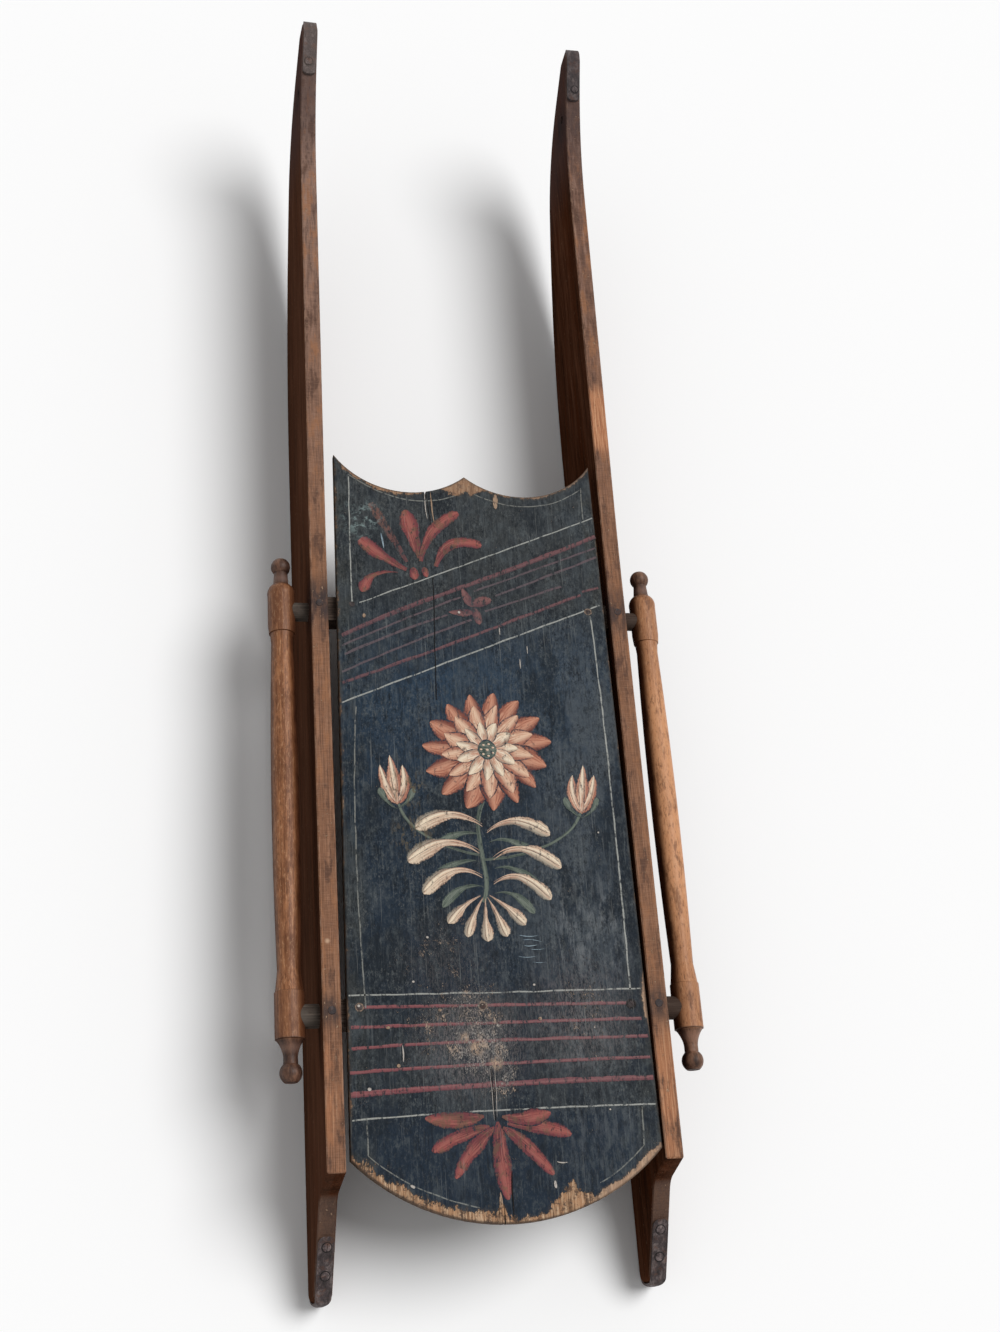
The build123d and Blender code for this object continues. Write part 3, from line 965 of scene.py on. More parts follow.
def deck_paint(f, stroke=None):
    """Colour, roughness and height of the painted board, with a stroke of paint on it if asked."""
    fibres = f.mottle((1.1, 24, 3), detail=5, rough=0.7, seed=31)
    blotch = f.mottle((12, 18, 10), detail=5, rough=0.7, seed=43)
    colour, drag = dark_coat(f)
    if stroke:
        colour = f.blend(stroke[0], colour, stroke[1])
    shown = scuffs(f, blotch)
    pale = f.ramp(blotch, [
        (0.38, (0.22, 0.225, 0.225)), (0.5, (0.36, 0.33, 0.30)), (0.62, (0.48, 0.36, 0.27)),
    ])
    colour = small_wear(f, f.blend(f.times(shown, 0.8), colour, pale))
    loss, nearest = paint_loss(f, ragged(f))
    colour = f.blend(f.fade(loss, -3.0, 0.3, to=(0, 0.4)), colour, (0.075, 0.060, 0.048))
    bare = f.fade(loss, -0.3, 0.6)
    # A thin dark rim along the board's edges is painted shade where the edge falls away.
    rim_shade = f.fade(nearest, 2.2, 0.5, to=(0, 0.75))
    colour = f.blend(bare, colour, f.blend(rim_shade, bare_wood(f, fibres), (0.070, 0.050, 0.040)))
    rough = f.math("ADD", f.fade(drag, 0.3, 0.7, to=(0.46, 0.62)), f.times(bare, 0.2))
    height = f.math("ADD", f.times(fibres, 0.5), f.times(drag, 0.4))
    height = f.math("SUBTRACT", height, f.times(f.most(bare, shown), 0.6))
    return colour, rough, height


def deck_finish():
    f = Finish("deck_blue_black_paint")
    colour, rough, height = deck_paint(f)
    end_grain = f.mottle((1.2, 1.2, 6), detail=3, seed=60)
    edge = f.ramp(end_grain, [(0.35, (0.035, 0.024, 0.018)), (0.65, (0.13, 0.085, 0.058))])
    edge = f.blend(f.fade(f.z, 110.5, 109), edge, (0.11, 0.075, 0.052))
    colour = f.blend(facing_up(f, 0.1, 0.5), edge, colour)
    return f.finish(colour, rough, height, depth=0.35, shine=0.07)


give(deck_finish(), "deck")

# %% [markdown]
# ## The path of a brush
# The striper worked with a long soft brush: lines of one width along a straightedge, and petals
# pressed down and lifted in one go. A curve object with a bevel could carry a stroke, but it
# makes a round cord. A stroke is thin and flat and changes its width, so it is described by a
# path through a few places and by how hard the brush is pressed along it.

# %% Follow a path and press the brush


def on_path(points, t):
    """Place on a smooth path that leaves for its inner points without touching them."""
    points = [Vector(p) for p in points]
    while len(points) > 1:
        points = [a.lerp(b, t) for a, b in zip(points, points[1:])]
    return points[0]


def profile(*stops):
    """A brush pressure given at a few places of the stroke, from its root to its tip."""

    def width_at(t):
        for (t0, w0), (t1, w1) in zip(stops, stops[1:]):
            if t <= t1:
                share = (t - t0) / (t1 - t0)
                return w0 + (w1 - w0) * share * share * (3 - 2 * share)
        return stops[-1][1]

    return width_at


def leaf(t):
    return max(0.02, math.sin(math.pi * t**0.85)) ** 0.6


def blunt_leaf(t):
    return max(0.02, math.sin(math.pi * t**1.25)) ** 0.46


even = profile((0, 1), (1, 1))
comma = profile((0, 0.05), (0.4, 0.40), (0.72, 0.94), (0.83, 1), (0.92, 0.86), (0.97, 0.6), (1, 0.12))
wedge = profile((0, 0.3), (0.4, 0.66), (0.8, 1), (0.94, 0.92), (1, 0.55))
kite = profile((0, 0.25), (0.35, 0.6), (0.72, 1), (0.86, 0.86), (0.96, 0.5), (1, 0.2))
bent = profile((0, 0.35), (0.4, 0.95), (0.8, 1), (0.94, 0.85), (1, 0.4))
spot = profile((0, 0.15), (0.12, 0.65), (0.3, 0.92), (0.5, 1), (0.7, 0.92), (0.88, 0.65), (1, 0.15))
print("a comma stroke is widest at its tip:", round(comma(0.2), 2), round(comma(0.83), 2))

# %% [markdown]
# ## Strokes of paint
# Each stroke is a thin strip of mesh laid a hair above the board. It starts as a grid, and
# every row of the grid moves onto the brush's path and spreads to the brush's width there. A
# projected picture would save the mesh, but strokes of real mesh stay sharp close up. The grid
# keeps its own map, along and across the stroke, so that the finish can follow the brush.

# %% Lay strokes
peek = 0.01  # how far along the path the brush looks to find its direction
waver_size = 16  # mm between one unsteadiness of the hand and the next
waver = 0.6  # mm the hand wanders sideways
swell = 0.3  # share by which the hand's pressure varies


def lay_stroke(bm, points, width, shape, lift):
    """Add one brush stroke to a mesh. Points, width and lift are in millimetres."""
    length = sum((Vector(b) - Vector(a)).length for a, b in zip(points, points[1:]))
    row_length = 4.0 if shape is even else 1.6
    rows = max(10, int(length / row_length))
    grid = bmesh.ops.create_grid(bm, x_segments=rows, y_segments=4, size=0.5, calc_uvs=True)
    for vert in grid["verts"]:
        t, across = vert.co.x + 0.5, vert.co.y
        here = on_path(points, t)
        ahead = on_path(points, min(1.0, t + peek)) - on_path(points, max(0.0, t - peek))
        side = Vector((-ahead.y, ahead.x)).normalized()
        shake = noise.noise(Vector((here.x / waver_size, here.y / waver_size, width)))
        half = shape(t) * width * (1 + swell * shake)
        place = here + side * (across * half + waver * shake)
        vert.co = on_sled(place.x, place.y, 0) + Vector((0, 0, deck_top + lift * MM))


def place_strokes(bm, name, material):
    """Turn the strokes into one piece that rides with the sled."""
    bm.normal_update()
    bmesh.ops.reverse_faces(bm, faces=[face for face in bm.faces if face.normal.z < 0])
    mesh = bpy.data.meshes.new(name)
    bm.to_mesh(mesh)
    bm.free()
    piece = bpy.data.objects.new(name, mesh)
    bpy.context.scene.collection.objects.link(piece)
    mesh.materials.append(material)
    for polygon in mesh.polygons:
        polygon.use_smooth = True
    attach(piece, "root")
    print(name, "has", len(mesh.polygons), "faces")


def paint(name, strokes, material, lift, step=0.0):
    """Lay a table of strokes as one piece. A row holds the width, the shape and the path, and
    each stroke lies a step above the one before it."""
    bm = bmesh.new()
    bm.loops.layers.uv.new("stroke")
    for count, (width, shape, *points) in enumerate(strokes):
        lay_stroke(bm, points, width, shape, lift + step * count)
    place_strokes(bm, name, material)


print("the hand wavers by", waver, "mm about every", waver_size, "mm")

# %% [markdown]
# ## The finish of a stroke
# Real brush paint fades out at a ragged edge and breaks up where the brush ran dry. Along its
# length a stroke can change colour, as a brush loaded with two colours does, and one side of it
# can be darker. A see-through stroke would be the plain way, but many see-through layers render
# slowly and export badly. So each stroke carries the board's own paint with its colour on it.

# %% Mix the finish of a stroke


def stroke_finish(
    name, root, tip, streak, dryness=0.3, cover=0.95, shade=None, rim=None, worn=0.0, coarse=4.0
):
    """Colours at the root, the tip and in streaks, then how dry and how thick the paint is."""
    f = Finish(name)
    along_across = f.node("ShaderNodeUVMap", uv_map="stroke").outputs[0]
    along, across, _ = f.node("ShaderNodeSeparateXYZ", {0: along_across}).outputs
    from_middle = f.math("ABSOLUTE", f.math("SUBTRACT", f.times(across, 2), 1))
    rag = f.mottle((1.3, 1.8, 2), detail=3, rough=0.6, seed=5)
    edge = f.math("ADD", from_middle, f.times(f.math("SUBTRACT", rag, 0.5), 0.8))
    inside = f.fade(edge, 1.02, 0.74)
    dry = f.mottle((coarse, coarse * 2, 3), detail=6, rough=0.78, seed=7)
    share = f.times(inside, f.fade(dry, dryness - 0.05, dryness + 0.08), cover)
    brushed = f.vector("MULTIPLY", along_across, (2.2, 8.0, 1.0))
    marks = f.mottle((1, 1, 1), detail=3, rough=0.6, place=brushed)
    colour = f.blend(f.fade(along, 0.05, 0.85), root, tip)
    colour = f.blend(f.fade(marks, 0.44, 0.60, to=(0, 0.85)), colour, streak)
    if rim:
        colour = f.blend(f.fade(edge, 0.45, 0.9, to=(0, 0.75)), colour, rim)
    if shade:
        colour = f.blend(f.fade(across, 0.5, 0.05, to=(0, 0.8)), colour, shade)
    colour = f.blend(f.fade(marks, 0.47, 0.36, to=(0, 0.5)), colour, root)
    patches = f.mottle((7, 9, 7), detail=4, rough=0.65, seed=71)
    colour = f.blend(f.fade(patches, 0.50, 0.60, to=(0, worn)), colour, (0.115, 0.090, 0.052))
    colour = f.blend(f.fade(dry, 0.46, 0.36, to=(0, 0.5)), colour, (0.045, 0.034, 0.034))
    colour, rough, height = deck_paint(f, stroke=(share, colour))
    height = f.math("ADD", height, f.times(share, 0.25))
    print("mixed", name)
    return f.finish(colour, rough, height, depth=0.35, shine=0.07)


# %% [markdown]
# ## Striping colours
# The striper had few pots: a red that has gone brick or dull with age, a mauve and a cream. One
# finish with its colour picked at random would do for many strokes, but here each kind of
# stroke has faded in its own way, so each pot is mixed by name.

# %% Mix the striping colours
stripe_red = stroke_finish(
    "stripe_red", (0.235, 0.066, 0.074), (0.180, 0.082, 0.092), (0.30, 0.135, 0.130), 0.42, 0.88,
    shade=(0.115, 0.038, 0.048),
)
stripe_dull = stroke_finish(
    "stripe_dull", (0.135, 0.060, 0.068), (0.175, 0.072, 0.078), (0.20, 0.105, 0.105), 0.43, 0.82,
    shade=(0.085, 0.040, 0.048),
)
line_mauve = stroke_finish(
    "line_mauve", (0.120, 0.085, 0.094), (0.135, 0.085, 0.094), (0.105, 0.090, 0.100), 0.41, 0.8
)
line_cream = stroke_finish(
    "line_cream", (0.42, 0.42, 0.39), (0.44, 0.44, 0.41), (0.25, 0.26, 0.24), 0.42, 0.85
)
line_faint = stroke_finish(
    "line_faint", (0.30, 0.30, 0.27), (0.31, 0.32, 0.30), (0.20, 0.19, 0.16), 0.44, 0.65
)
petal_red = stroke_finish(
    "petal_red", (0.115, 0.036, 0.040), (0.305, 0.080, 0.070), (0.34, 0.120, 0.098), 0.38, 0.95,
    rim=(0.13, 0.033, 0.042), shade=(0.150, 0.040, 0.050), worn=0.5,
)
petal_faded = stroke_finish(
    "petal_faded", (0.12, 0.058, 0.064), (0.25, 0.105, 0.095), (0.22, 0.115, 0.110), 0.43, 0.82,
    shade=(0.10, 0.045, 0.055),
)
petal_worn = stroke_finish(
    "petal_worn", (0.11, 0.05, 0.055), (0.15, 0.085, 0.062), (0.20, 0.085, 0.075), 0.47, 0.8
)

# %% [markdown]
# ## Stripes and lines
# Five red stripes cross the rear of the deck and a slanting band crosses its front, each band
# between cream lines. Thin cream lines frame the middle panel and follow both ends. They could
# be ruled dead straight, but a hand-pulled line bends a little, so most have a third place in
# the middle of their path. Cream was painted last and lies highest.

# %% Paint the stripes and lines
stripe_lift, line_lift = 0.05, 0.08  # mm above the board
# Columns: width in mm, shape, then the places the stroke runs through, from the left
paint("deck_red_stripes", (
    (3.0, even, (-115, 2.6), (0, 2.2), (116, 1.3)),
    (3.0, even, (-124, -13.8), (0, -12.3), (124, -12.0)),
    (3.0, even, (-124, -31.2), (-70, -26.5), (128, -27.0)),
    (3.0, even, (-126, -50.5), (-60, -46.5), (128, -44.4)),
    (5.0, even, (-126, -68.0), (-20, -61.5), (129, -61.4)),
), stripe_red, stripe_lift)
paint("deck_dull_stripes", (
    (4.6, even, (-120, 337), (-50, 375), (40, 405), (126, 447.5)),
    (3.2, even, (-121, 291), (-40, 322), (40, 357), (106, 385)),
    (2.8, even, (107.5, 388.5), (124, 393)),
), stripe_dull, stripe_lift)
paint("deck_mauve_lines", (
    (2.0, even, (-120, 327), (-60, 357), (-9, 378.5)),
    (2.0, even, (4, 385), (60, 408), (125, 435)),
    (2.4, even, (-118, 318.5), (-60, 347), (-22, 360.5)),
    (2.2, even, (24, 381), (80, 405), (125, 425)),
    (2.4, even, (-121, 301.5), (-60, 332), (0, 356)),
    (2.4, even, (13, 365), (52, 380), (88, 393)),
), line_mauve, stripe_lift)
paint("deck_cream_lines", (
    (1.3, even, (-103, 370), (0, 413), (125, 467)),
    (1.5, even, (-122, 272), (0, 324), (124, 375)),
    (1.2, even, (-108.5, 500), (-109.8, 440), (-109.8, 369)),
    (1.5, even, (113.5, 363), (118.5, 250), (116.3, 13)),
    (1.4, even, (-125, 12.6), (0, 12.4), (125.5, 13.5)),
    (1.4, even, (-125.5, -88), (-40, -82.5), (128.5, -83.4)),
), line_cream, line_lift)
paint("deck_faint_lines", (
    (1.1, even, (116.3, 499), (115.6, 465)),
    (1.2, even, (-108.8, 502.5), (-51, 459), (3.5, 490.5)),
    (1.1, even, (3.5, 490.5), (65, 458.5), (115.7, 497.5)),
    (1.3, even, (-109.8, 269), (-118, 160), (-111.3, 2)),
    (1.2, even, (-114, -87.5), (-113.6, -115.5)),
    (1.1, even, (-113.6, -115.5), (-80, -146), (-26, -159)),
    (1.3, even, (116.6, -85), (115, -116)),
    (1.1, even, (115, -116), (95, -135), (75, -144.5)),
), line_faint, line_lift)

# %% [markdown]
# ## Petal fans
# A fan of loose petals fills each end of the deck, and a small flower sits in the slanting
# band. Copying one petal round would be quick, but a hand never makes two alike, so each has
# its own row. Leaf-shaped petals were pressed in the middle of the stroke, the others towards
# its end. Each lies a hundredth of a millimetre above the one before, so none flicker.

# %% Paint the petals
petal_lift, worn_lift, petal_step = 0.09, 0.07, 0.01  # mm above the board, and between strokes
# Columns: width in mm, shape, then the path from the root of the petal to its tip
paint("deck_petals", (
    (14.5, blunt_leaf, (-18, -88), (-44, -93), (-66.5, -88.5)),
    (13.5, blunt_leaf, (-14, -96), (-42, -103), (-62, -114.5)),
    (13.0, blunt_leaf, (-10, -97), (-30, -112), (-44, -136)),
    (16.5, blunt_leaf, (-7, -93), (-6, -125), (-2, -154)),
    (12.5, blunt_leaf, (-3, -98), (20, -113), (36.5, -136.5)),
    (13.0, blunt_leaf, (1, -95), (30, -96), (54, -105.5)),
    (13.0, blunt_leaf, (-3, -89), (18, -94), (38, -87)),
    (10.5, comma, (-66, 402), (-93, 405), (-100.5, 381)),
    (14.0, wedge, (-58, 405), (-80, 416), (-100, 435)),
    (17.5, kite, (-45.5, 417), (-50, 440), (-57, 467)),
    (11.5, bent, (-44, 414), (-40, 448), (-6, 466)),
    (10.5, bent, (-30, 409), (-20, 445), (14, 432)),
    (11.0, spot, (-51.5, 407.5), (-50.5, 395)),
    (8.5, spot, (-41.5, 408), (-39, 398)),
), petal_red, petal_lift, petal_step)
paint("deck_faded_petals", (
    (8.0, leaf, (2, 369), (-4, 378), (-7, 388)),
    (10.0, blunt_leaf, (1, 369), (9, 376), (20, 376)),
    (7.5, leaf, (2, 364.5), (-10, 362), (-21, 363)),
    (9.0, blunt_leaf, (2, 368), (6, 361), (7, 351.5)),
), petal_faded, petal_lift, petal_step)
paint("deck_worn_petal", ((10.5, wedge, (-57, 413), (-70, 438), (-89, 473)),), petal_worn, worn_lift)

# %% [markdown]
# ## The spray's colours
# The middle panel carries a painted flower spray in the peach, cream, rust and grey-green of
# the time. A folk painter loads one side of the brush with light paint and the other with dark,
# so that a single stroke comes out shaded. The shade of each finish does that here, where a
# flat colour would need real light and shadow to look round.

# %% Mix the spray's colours
spray_rust = stroke_finish(
    "spray_rust", (0.17, 0.050, 0.038), (0.46, 0.185, 0.115), (0.58, 0.30, 0.20), 0.33, 0.97,
    shade=(0.13, 0.040, 0.032), rim=(0.16, 0.050, 0.038),
)
spray_peach = stroke_finish(
    "spray_peach", (0.36, 0.135, 0.088), (0.66, 0.40, 0.27), (0.74, 0.53, 0.38), 0.33, 0.97,
    shade=(0.33, 0.125, 0.085), rim=(0.36, 0.16, 0.11),
)
spray_cream = stroke_finish(
    "spray_cream", (0.50, 0.24, 0.16), (0.78, 0.63, 0.46), (0.84, 0.74, 0.58), 0.33, 0.97,
    shade=(0.30, 0.20, 0.15),
)
spray_leaf = stroke_finish(
    "spray_leaf", (0.38, 0.19, 0.13), (0.64, 0.48, 0.35), (0.76, 0.64, 0.49), 0.34, 0.96,
    shade=(0.12, 0.13, 0.115),
)
spray_green = stroke_finish(
    "spray_green", (0.035, 0.050, 0.040), (0.10, 0.125, 0.10), (0.20, 0.225, 0.185), 0.36, 0.9
)

# %% [markdown]
# ## Setting out the spray
# The bloom is rings of petals, and the leaves come in pairs. Placing nearly a hundred strokes
# by hand would be slow, so one helper lays a ring and another repeats the left side on the
# right. A sine of each petal's number bends it a little, and the right leaves are smaller, so
# that nothing looks stamped and the result is still the same each time.

# %% Set out rings and pairs
bloom = Vector((6.0, 229.0))  # middle of the flower, in mm on the deck


def ring(count, turn, inner, outer, width, curl):
    """A ring of petals round the bloom, each bent sideways by the curl."""
    strokes = []
    for k in range(count):
        angle = math.radians(turn + 360 * k / count)
        out = Vector((math.cos(angle), math.sin(angle)))
        side = Vector((-out.y, out.x))
        reach = outer * (1 + 0.05 * math.sin(7 * k + turn))
        bend = side * (curl + 1.5 * math.sin(4 * k))
        path = [bloom + out * inner, bloom + out * (inner + reach) / 2 + bend, bloom + out * reach]
        strokes.append((width * (1 + 0.1 * math.sin(5 * k + turn)), leaf, *path))
    return strokes


def both_sides(strokes, axis_x):
    """The strokes again on the other side of the stem, a little smaller and lower."""
    return strokes + [
        (0.94 * width, shape, *[(2 * axis_x - 0.95 * x, y - 6) for x, y in points])
        for width, shape, *points in strokes
    ]


def inside_of(strokes, scale, shift):
    """Thinner strokes over the first ones, as the light side of a loaded brush leaves them."""
    return [
        (scale * width, shape, *[(x, y + shift) for x, y in points])
        for width, shape, *points in strokes
    ]


print("the bloom is at", tuple(bloom), "mm")

# %% [markdown]
# Now the strokes themselves: curved leaves with green undersides, a sweep of short strokes
# below, three stems, and two buds with their sepals. A leaf could be drawn as an outline and
# filled. As one comma stroke it starts at the stem and swells towards its tip, as a brush does
# when it is pressed down on the way, and that is what makes it look painted.

# %% Set out leaves, stems and buds
# Columns: width in mm, shape, then the path from the root of the stroke to its tip
stem_x = -1
leaves = both_sides([
    (15.0, comma, (-3, 158), (-30, 180), (-62, 156)),
    (15.5, comma, (-7, 134), (-36, 156), (-70, 126)),
    (14.0, comma, (-6, 112), (-32, 130), (-58, 98)),
], stem_x)
undersides = both_sides([
    (10.0, comma, (-4, 150), (-24, 158), (-46, 138)),
    (10.0, comma, (-8, 126), (-28, 132), (-50, 108)),
    (9.0, comma, (-6, 104), (-24, 110), (-42, 86)),
], stem_x)
sweeps = [
    (11.0, comma, (-9, 96), (-26, 88), (-38, 72)),
    (10.5, comma, (-7, 94), (-18, 78), (-22, 60)),
    (10.0, comma, (-5, 93), (-6, 74), (-5, 56)),
    (10.5, comma, (-3, 94), (6, 78), (12, 60)),
    (11.0, comma, (-1, 96), (16, 86), (29, 70)),
]
bud_left, bud_right = (-77, 184), (88, 176)
stems = [
    (4.2, even, (3, 190), (-20, 150), (6, 120), (-6, 90)),
    (2.6, even, (-6, 132), (-44, 138), (-74, 158), bud_left),
    (2.6, even, (-4, 128), (44, 130), (84, 150), bud_right),
]
buds, sepals = [], []
for x, y in (bud_left, bud_right):
    lean = 1 if x > 0 else -1
    buds += [
        (12.0, leaf, (x, y - 5), (x - 10, y + 8), (x - 10 + lean * 4, y + 29)),
        (12.0, leaf, (x, y - 5), (x + 10, y + 8), (x + 10 + lean * 4, y + 29)),
        (13.0, leaf, (x, y - 6), (x + lean, y + 12), (x + lean * 5, y + 38)),
    ]
    sepals += [
        (6.5, comma, (x, y - 10), (x - 11, y - 5), (x - 15, y + 9)),
        (6.5, comma, (x, y - 10), (x + 11, y - 5), (x + 15, y + 9)),
    ]
print("leaves", len(leaves), "sweeps", len(sweeps), "bud petals", len(buds))

# %% [markdown]
# ## Painting the spray
# It is built up as a folk painter would: stems and leaves first, then a ring of dark petals,
# rings of paler ones over it, and the heart and its dots last. All of it could be one mesh,
# but pieces of one colour each are easier to change. The lift of each piece above the board, in
# millimetres, decides which paint covers which.

# %% Paint the spray
paint("deck_spray_stems", stems + undersides, spray_green, lift=0.05, step=0.008)
paint("deck_spray_leaves", leaves + sweeps, spray_leaf, lift=0.16, step=0.01)
lights = inside_of(leaves, 0.34, 2.0) + inside_of(sweeps, 0.34, 0.5)
paint("deck_spray_lights", lights, spray_cream, lift=0.30, step=0.008)
paint("deck_spray_buds", buds, spray_peach, lift=0.20, step=0.01)
paint("deck_spray_bud_lights", inside_of(buds, 0.4, 1.0), spray_cream, lift=0.30, step=0.008)
paint("deck_spray_sepals", sepals, spray_green, lift=0.36, step=0.01)
paint("deck_spray_outer_petals", ring(15, 8, 14, 57, 21, 4), spray_rust, lift=0.14, step=0.01)
paint("deck_spray_middle_petals", ring(13, 20, 10, 43, 16, 3), spray_peach, lift=0.30, step=0.01)
paint("deck_spray_inner_petals", ring(11, 3, 6, 28, 11, 2), spray_cream, lift=0.44, step=0.008)


def dot(x, y, width, half):
    """A round dot, painted as a very short stroke."""
    return (width, spot, (x - half, y), (x + half, y))


paint("deck_spray_heart", [dot(*bloom, 17.0, 8.5)], spray_green, lift=0.54)
dot_count, dot_ring, dot_turn = 7, 5.6, 21.8  # how many, mm out from the heart, first angle
dots = [dot(*bloom, 2.8, 1.4)]
for k in range(dot_count):
    angle = math.radians(dot_turn + 360 * k / dot_count)
    x, y = bloom.x + dot_ring * math.cos(angle), bloom.y + dot_ring * math.sin(angle)
    dots.append(dot(x, y, 2.3, 1.15))
paint("deck_spray_dots", dots, spray_cream, lift=0.56)

# %% [markdown]
# ## The colours of chips and cracks
# Knocks have broken single flakes off the paint down to pale ground or tan wood, and the board
# has begun to split along its grain at both ends. Real holes would have to be cut into the
# board, which belongs to the drawing. A short dry stroke in the colour of what lies below looks
# the same from a step away. Its dry brush is finer, so that small marks stay ragged.

# %% Mix the colours of chips and cracks


def chip_finish(name, root, tip, streak, dryness, cover):
    return stroke_finish(name, root, tip, streak, dryness, cover, coarse=2.0)


chip_pale = chip_finish(
    "chip_pale", (0.50, 0.46, 0.42), (0.60, 0.55, 0.50), (0.42, 0.36, 0.31), 0.38, 0.9
)
chip_tan = chip_finish(
    "chip_tan", (0.36, 0.24, 0.16), (0.46, 0.32, 0.22), (0.27, 0.18, 0.12), 0.40, 0.9
)
# This blue serves a chip, and also painted reflections: glints on the glossy paint.
chip_and_glint_blue = chip_finish(
    "chip_and_glint_blue", (0.26, 0.34, 0.40), (0.36, 0.45, 0.50), (0.20, 0.26, 0.31), 0.40, 0.85
)
chip_ring = chip_finish(
    "chip_ring", (0.30, 0.21, 0.15), (0.34, 0.24, 0.17), (0.16, 0.11, 0.085), 0.43, 0.75
)
crack_dark = stroke_finish(
    "crack_dark", (0.004, 0.003, 0.003), (0.004, 0.003, 0.003), (0.008, 0.006, 0.005), 0.2, 1.0
)

# %% [markdown]
# ## Chips, scratches and cracks
# Each mark is laid where the real one is. They could be scattered at random, but wear isn't: chips
# sit where nails were hammered and boots scraped, and cracks start at the ends. The short blue marks
# near the rear of the middle panel are painted reflections, and the pale marks on two screw heads are
# painted highlights. All of them lie above the paint, but the rings round the screws lie below the
# screws' heads.

# %% Mark the deck
# Columns: width in mm, shape, then the path of the mark
paint("deck_pale_chips", (
    (3.2, spot, (-112.2, -63.8), (-109.2, -63.6)),
    (2.6, spot, (-2.4, -15.1), (0.2, -15.1)),
    (1.2, leaf, (-82.1, -29), (-81.5, -36), (-82.5, -43)),
    (2.4, spot, (36.9, -141), (37.4, -147)),
    (2.6, spot, (-80.8, -139.4), (-77.4, -141.6)),
    (1.6, spot, (88.0, -86.6), (89.6, -86.6)),
    (1.4, spot, (81.0, -18.3), (82.4, -18.3)),
    (2.0, spot, (31.2, 18.3), (33.4, 18.6)),
    (1.8, spot, (-58, 60.4), (-56, 59.6)),
    (1.8, spot, (-71.8, 22.8), (-69.6, 22.8)),
    (1.6, spot, (100.4, 152.2), (102, 152.4)),
    (1.0, leaf, (42.3, 318), (42.1, 308)),
    (1.0, leaf, (50, 331), (50.1, 323)),
    (0.9, leaf, (25, 349), (25.2, 341)),
    (1.0, leaf, (-37.2, 486), (-37.6, 470), (-36, 458)),
    (3.0, spot, (-12.6, 362.6), (-10.4, 363.4)),
    (1.3, leaf, (40, -126), (44, -127.5), (49, -127)),
    (0.6, leaf, (-11.0, -49), (-9.4, -72), (-9.8, -92)),
    (0.6, leaf, (-6.6, -46), (-6.2, -70), (-7.0, -90)),
), chip_pale, lift=0.50)
paint("deck_tan_chips", (
    (3.0, spot, (33.8, -10.4), (36.8, -10.2)),
    (2.8, spot, (-95, -14.7), (-92, -14.5)),
    (3.2, spot, (-87.6, -45.7), (-84.6, -45.9)),
    (3.0, spot, (-99.3, 355), (-99.3, 359)),
    (5.0, spot, (31, 488), (30.4, 472)),
    (1.3, leaf, (-31.6, 487), (-31.2, 470), (-30, 455)),
    (2.4, spot, (-51, -1), (-48, -1.6)),
    (3.6, leaf, (-10, -172), (-8, -160), (-8.6, -148)),
), chip_tan, lift=0.52)
# The short blue marks near the rear of the middle panel are painted reflections, glints on the paint.
paint("deck_blue_chips_and_glints", (
    (1.9, leaf, (-80.2, 442), (-79, 434), (-78.4, 426)),
    (0.8, leaf, (22, 61), (30, 58.6), (39, 60.8)),
    (0.6, leaf, (25, 56.5), (32, 58), (42, 55)),
    (0.8, leaf, (26, 52), (31, 50.4), (38, 52.4)),
    (0.5, leaf, (31, 48.6), (37, 47.4), (44, 49)),
    (0.6, leaf, (20, 43), (28, 41), (36, 42.6)),
    (0.5, leaf, (32, 38), (38, 36.4), (45, 38)),
), chip_and_glint_blue, lift=0.50)
paint("deck_screw_rings", (
    (8.0, spot, (-120.2, 2.7), (-112.6, 2.7)),
    (8.6, spot, (-17.4, 1.5), (-8.8, 1.5)),
    (8.0, spot, (107.8, 367.6), (115.6, 367.6)),
), chip_ring, lift=0.10)
# Two pale marks on screw heads are painted highlights.
paint("deck_screw_glints", (
    (2.4, spot, (-118.2, 3.8), (-115.8, 3.6)),
    (1.4, spot, (-14.0, 3.0), (-12.6, 2.8)),
), chip_pale, lift=0.45)
paint("deck_cracks", (
    (0.8, even, (-33.7, 398), (-35, 340), (-37.2, 276)),
    (0.7, even, (-9.2, -50), (-8.6, -70), (-8.2, -92)),
    (1.3, leaf, (2.0, -132), (1.2, -152), (1.6, -172)),
    (0.8, leaf, (-34.6, 486.5), (-34.8, 470), (-33, 452)),
), crack_dark, lift=0.54)
# A dark disc round the right rear screw is painted shade of its sunken hole, with a rust stain.
paint("deck_screw_recess_shade", ((9.6, spot, (111.2, 0.4), (120.4, 0.4)),), crack_dark, lift=0.09)

# %% [markdown]
# ## Heads of screws and nails
# Hand-cut iron screws hold the deck down and the straps on, and round-headed nails pin each
# tenon from above. A cylinder would do from afar, but a real head tapers. So a head is a low
# cone with its tip cut off. Its top is inset once so that the rim stays sharp, and on a screw
# two cuts mark out the slot, which is then pushed down.

# %% Turn a head
head_sides, rim_step = 24, 0.05  # the step of the rim is in mm
taper_share, rim_share, slot_share = 0.86, 0.12, 0.13  # shares of the radius


def on_top(face, height):
    return face.calc_center_median().z > height


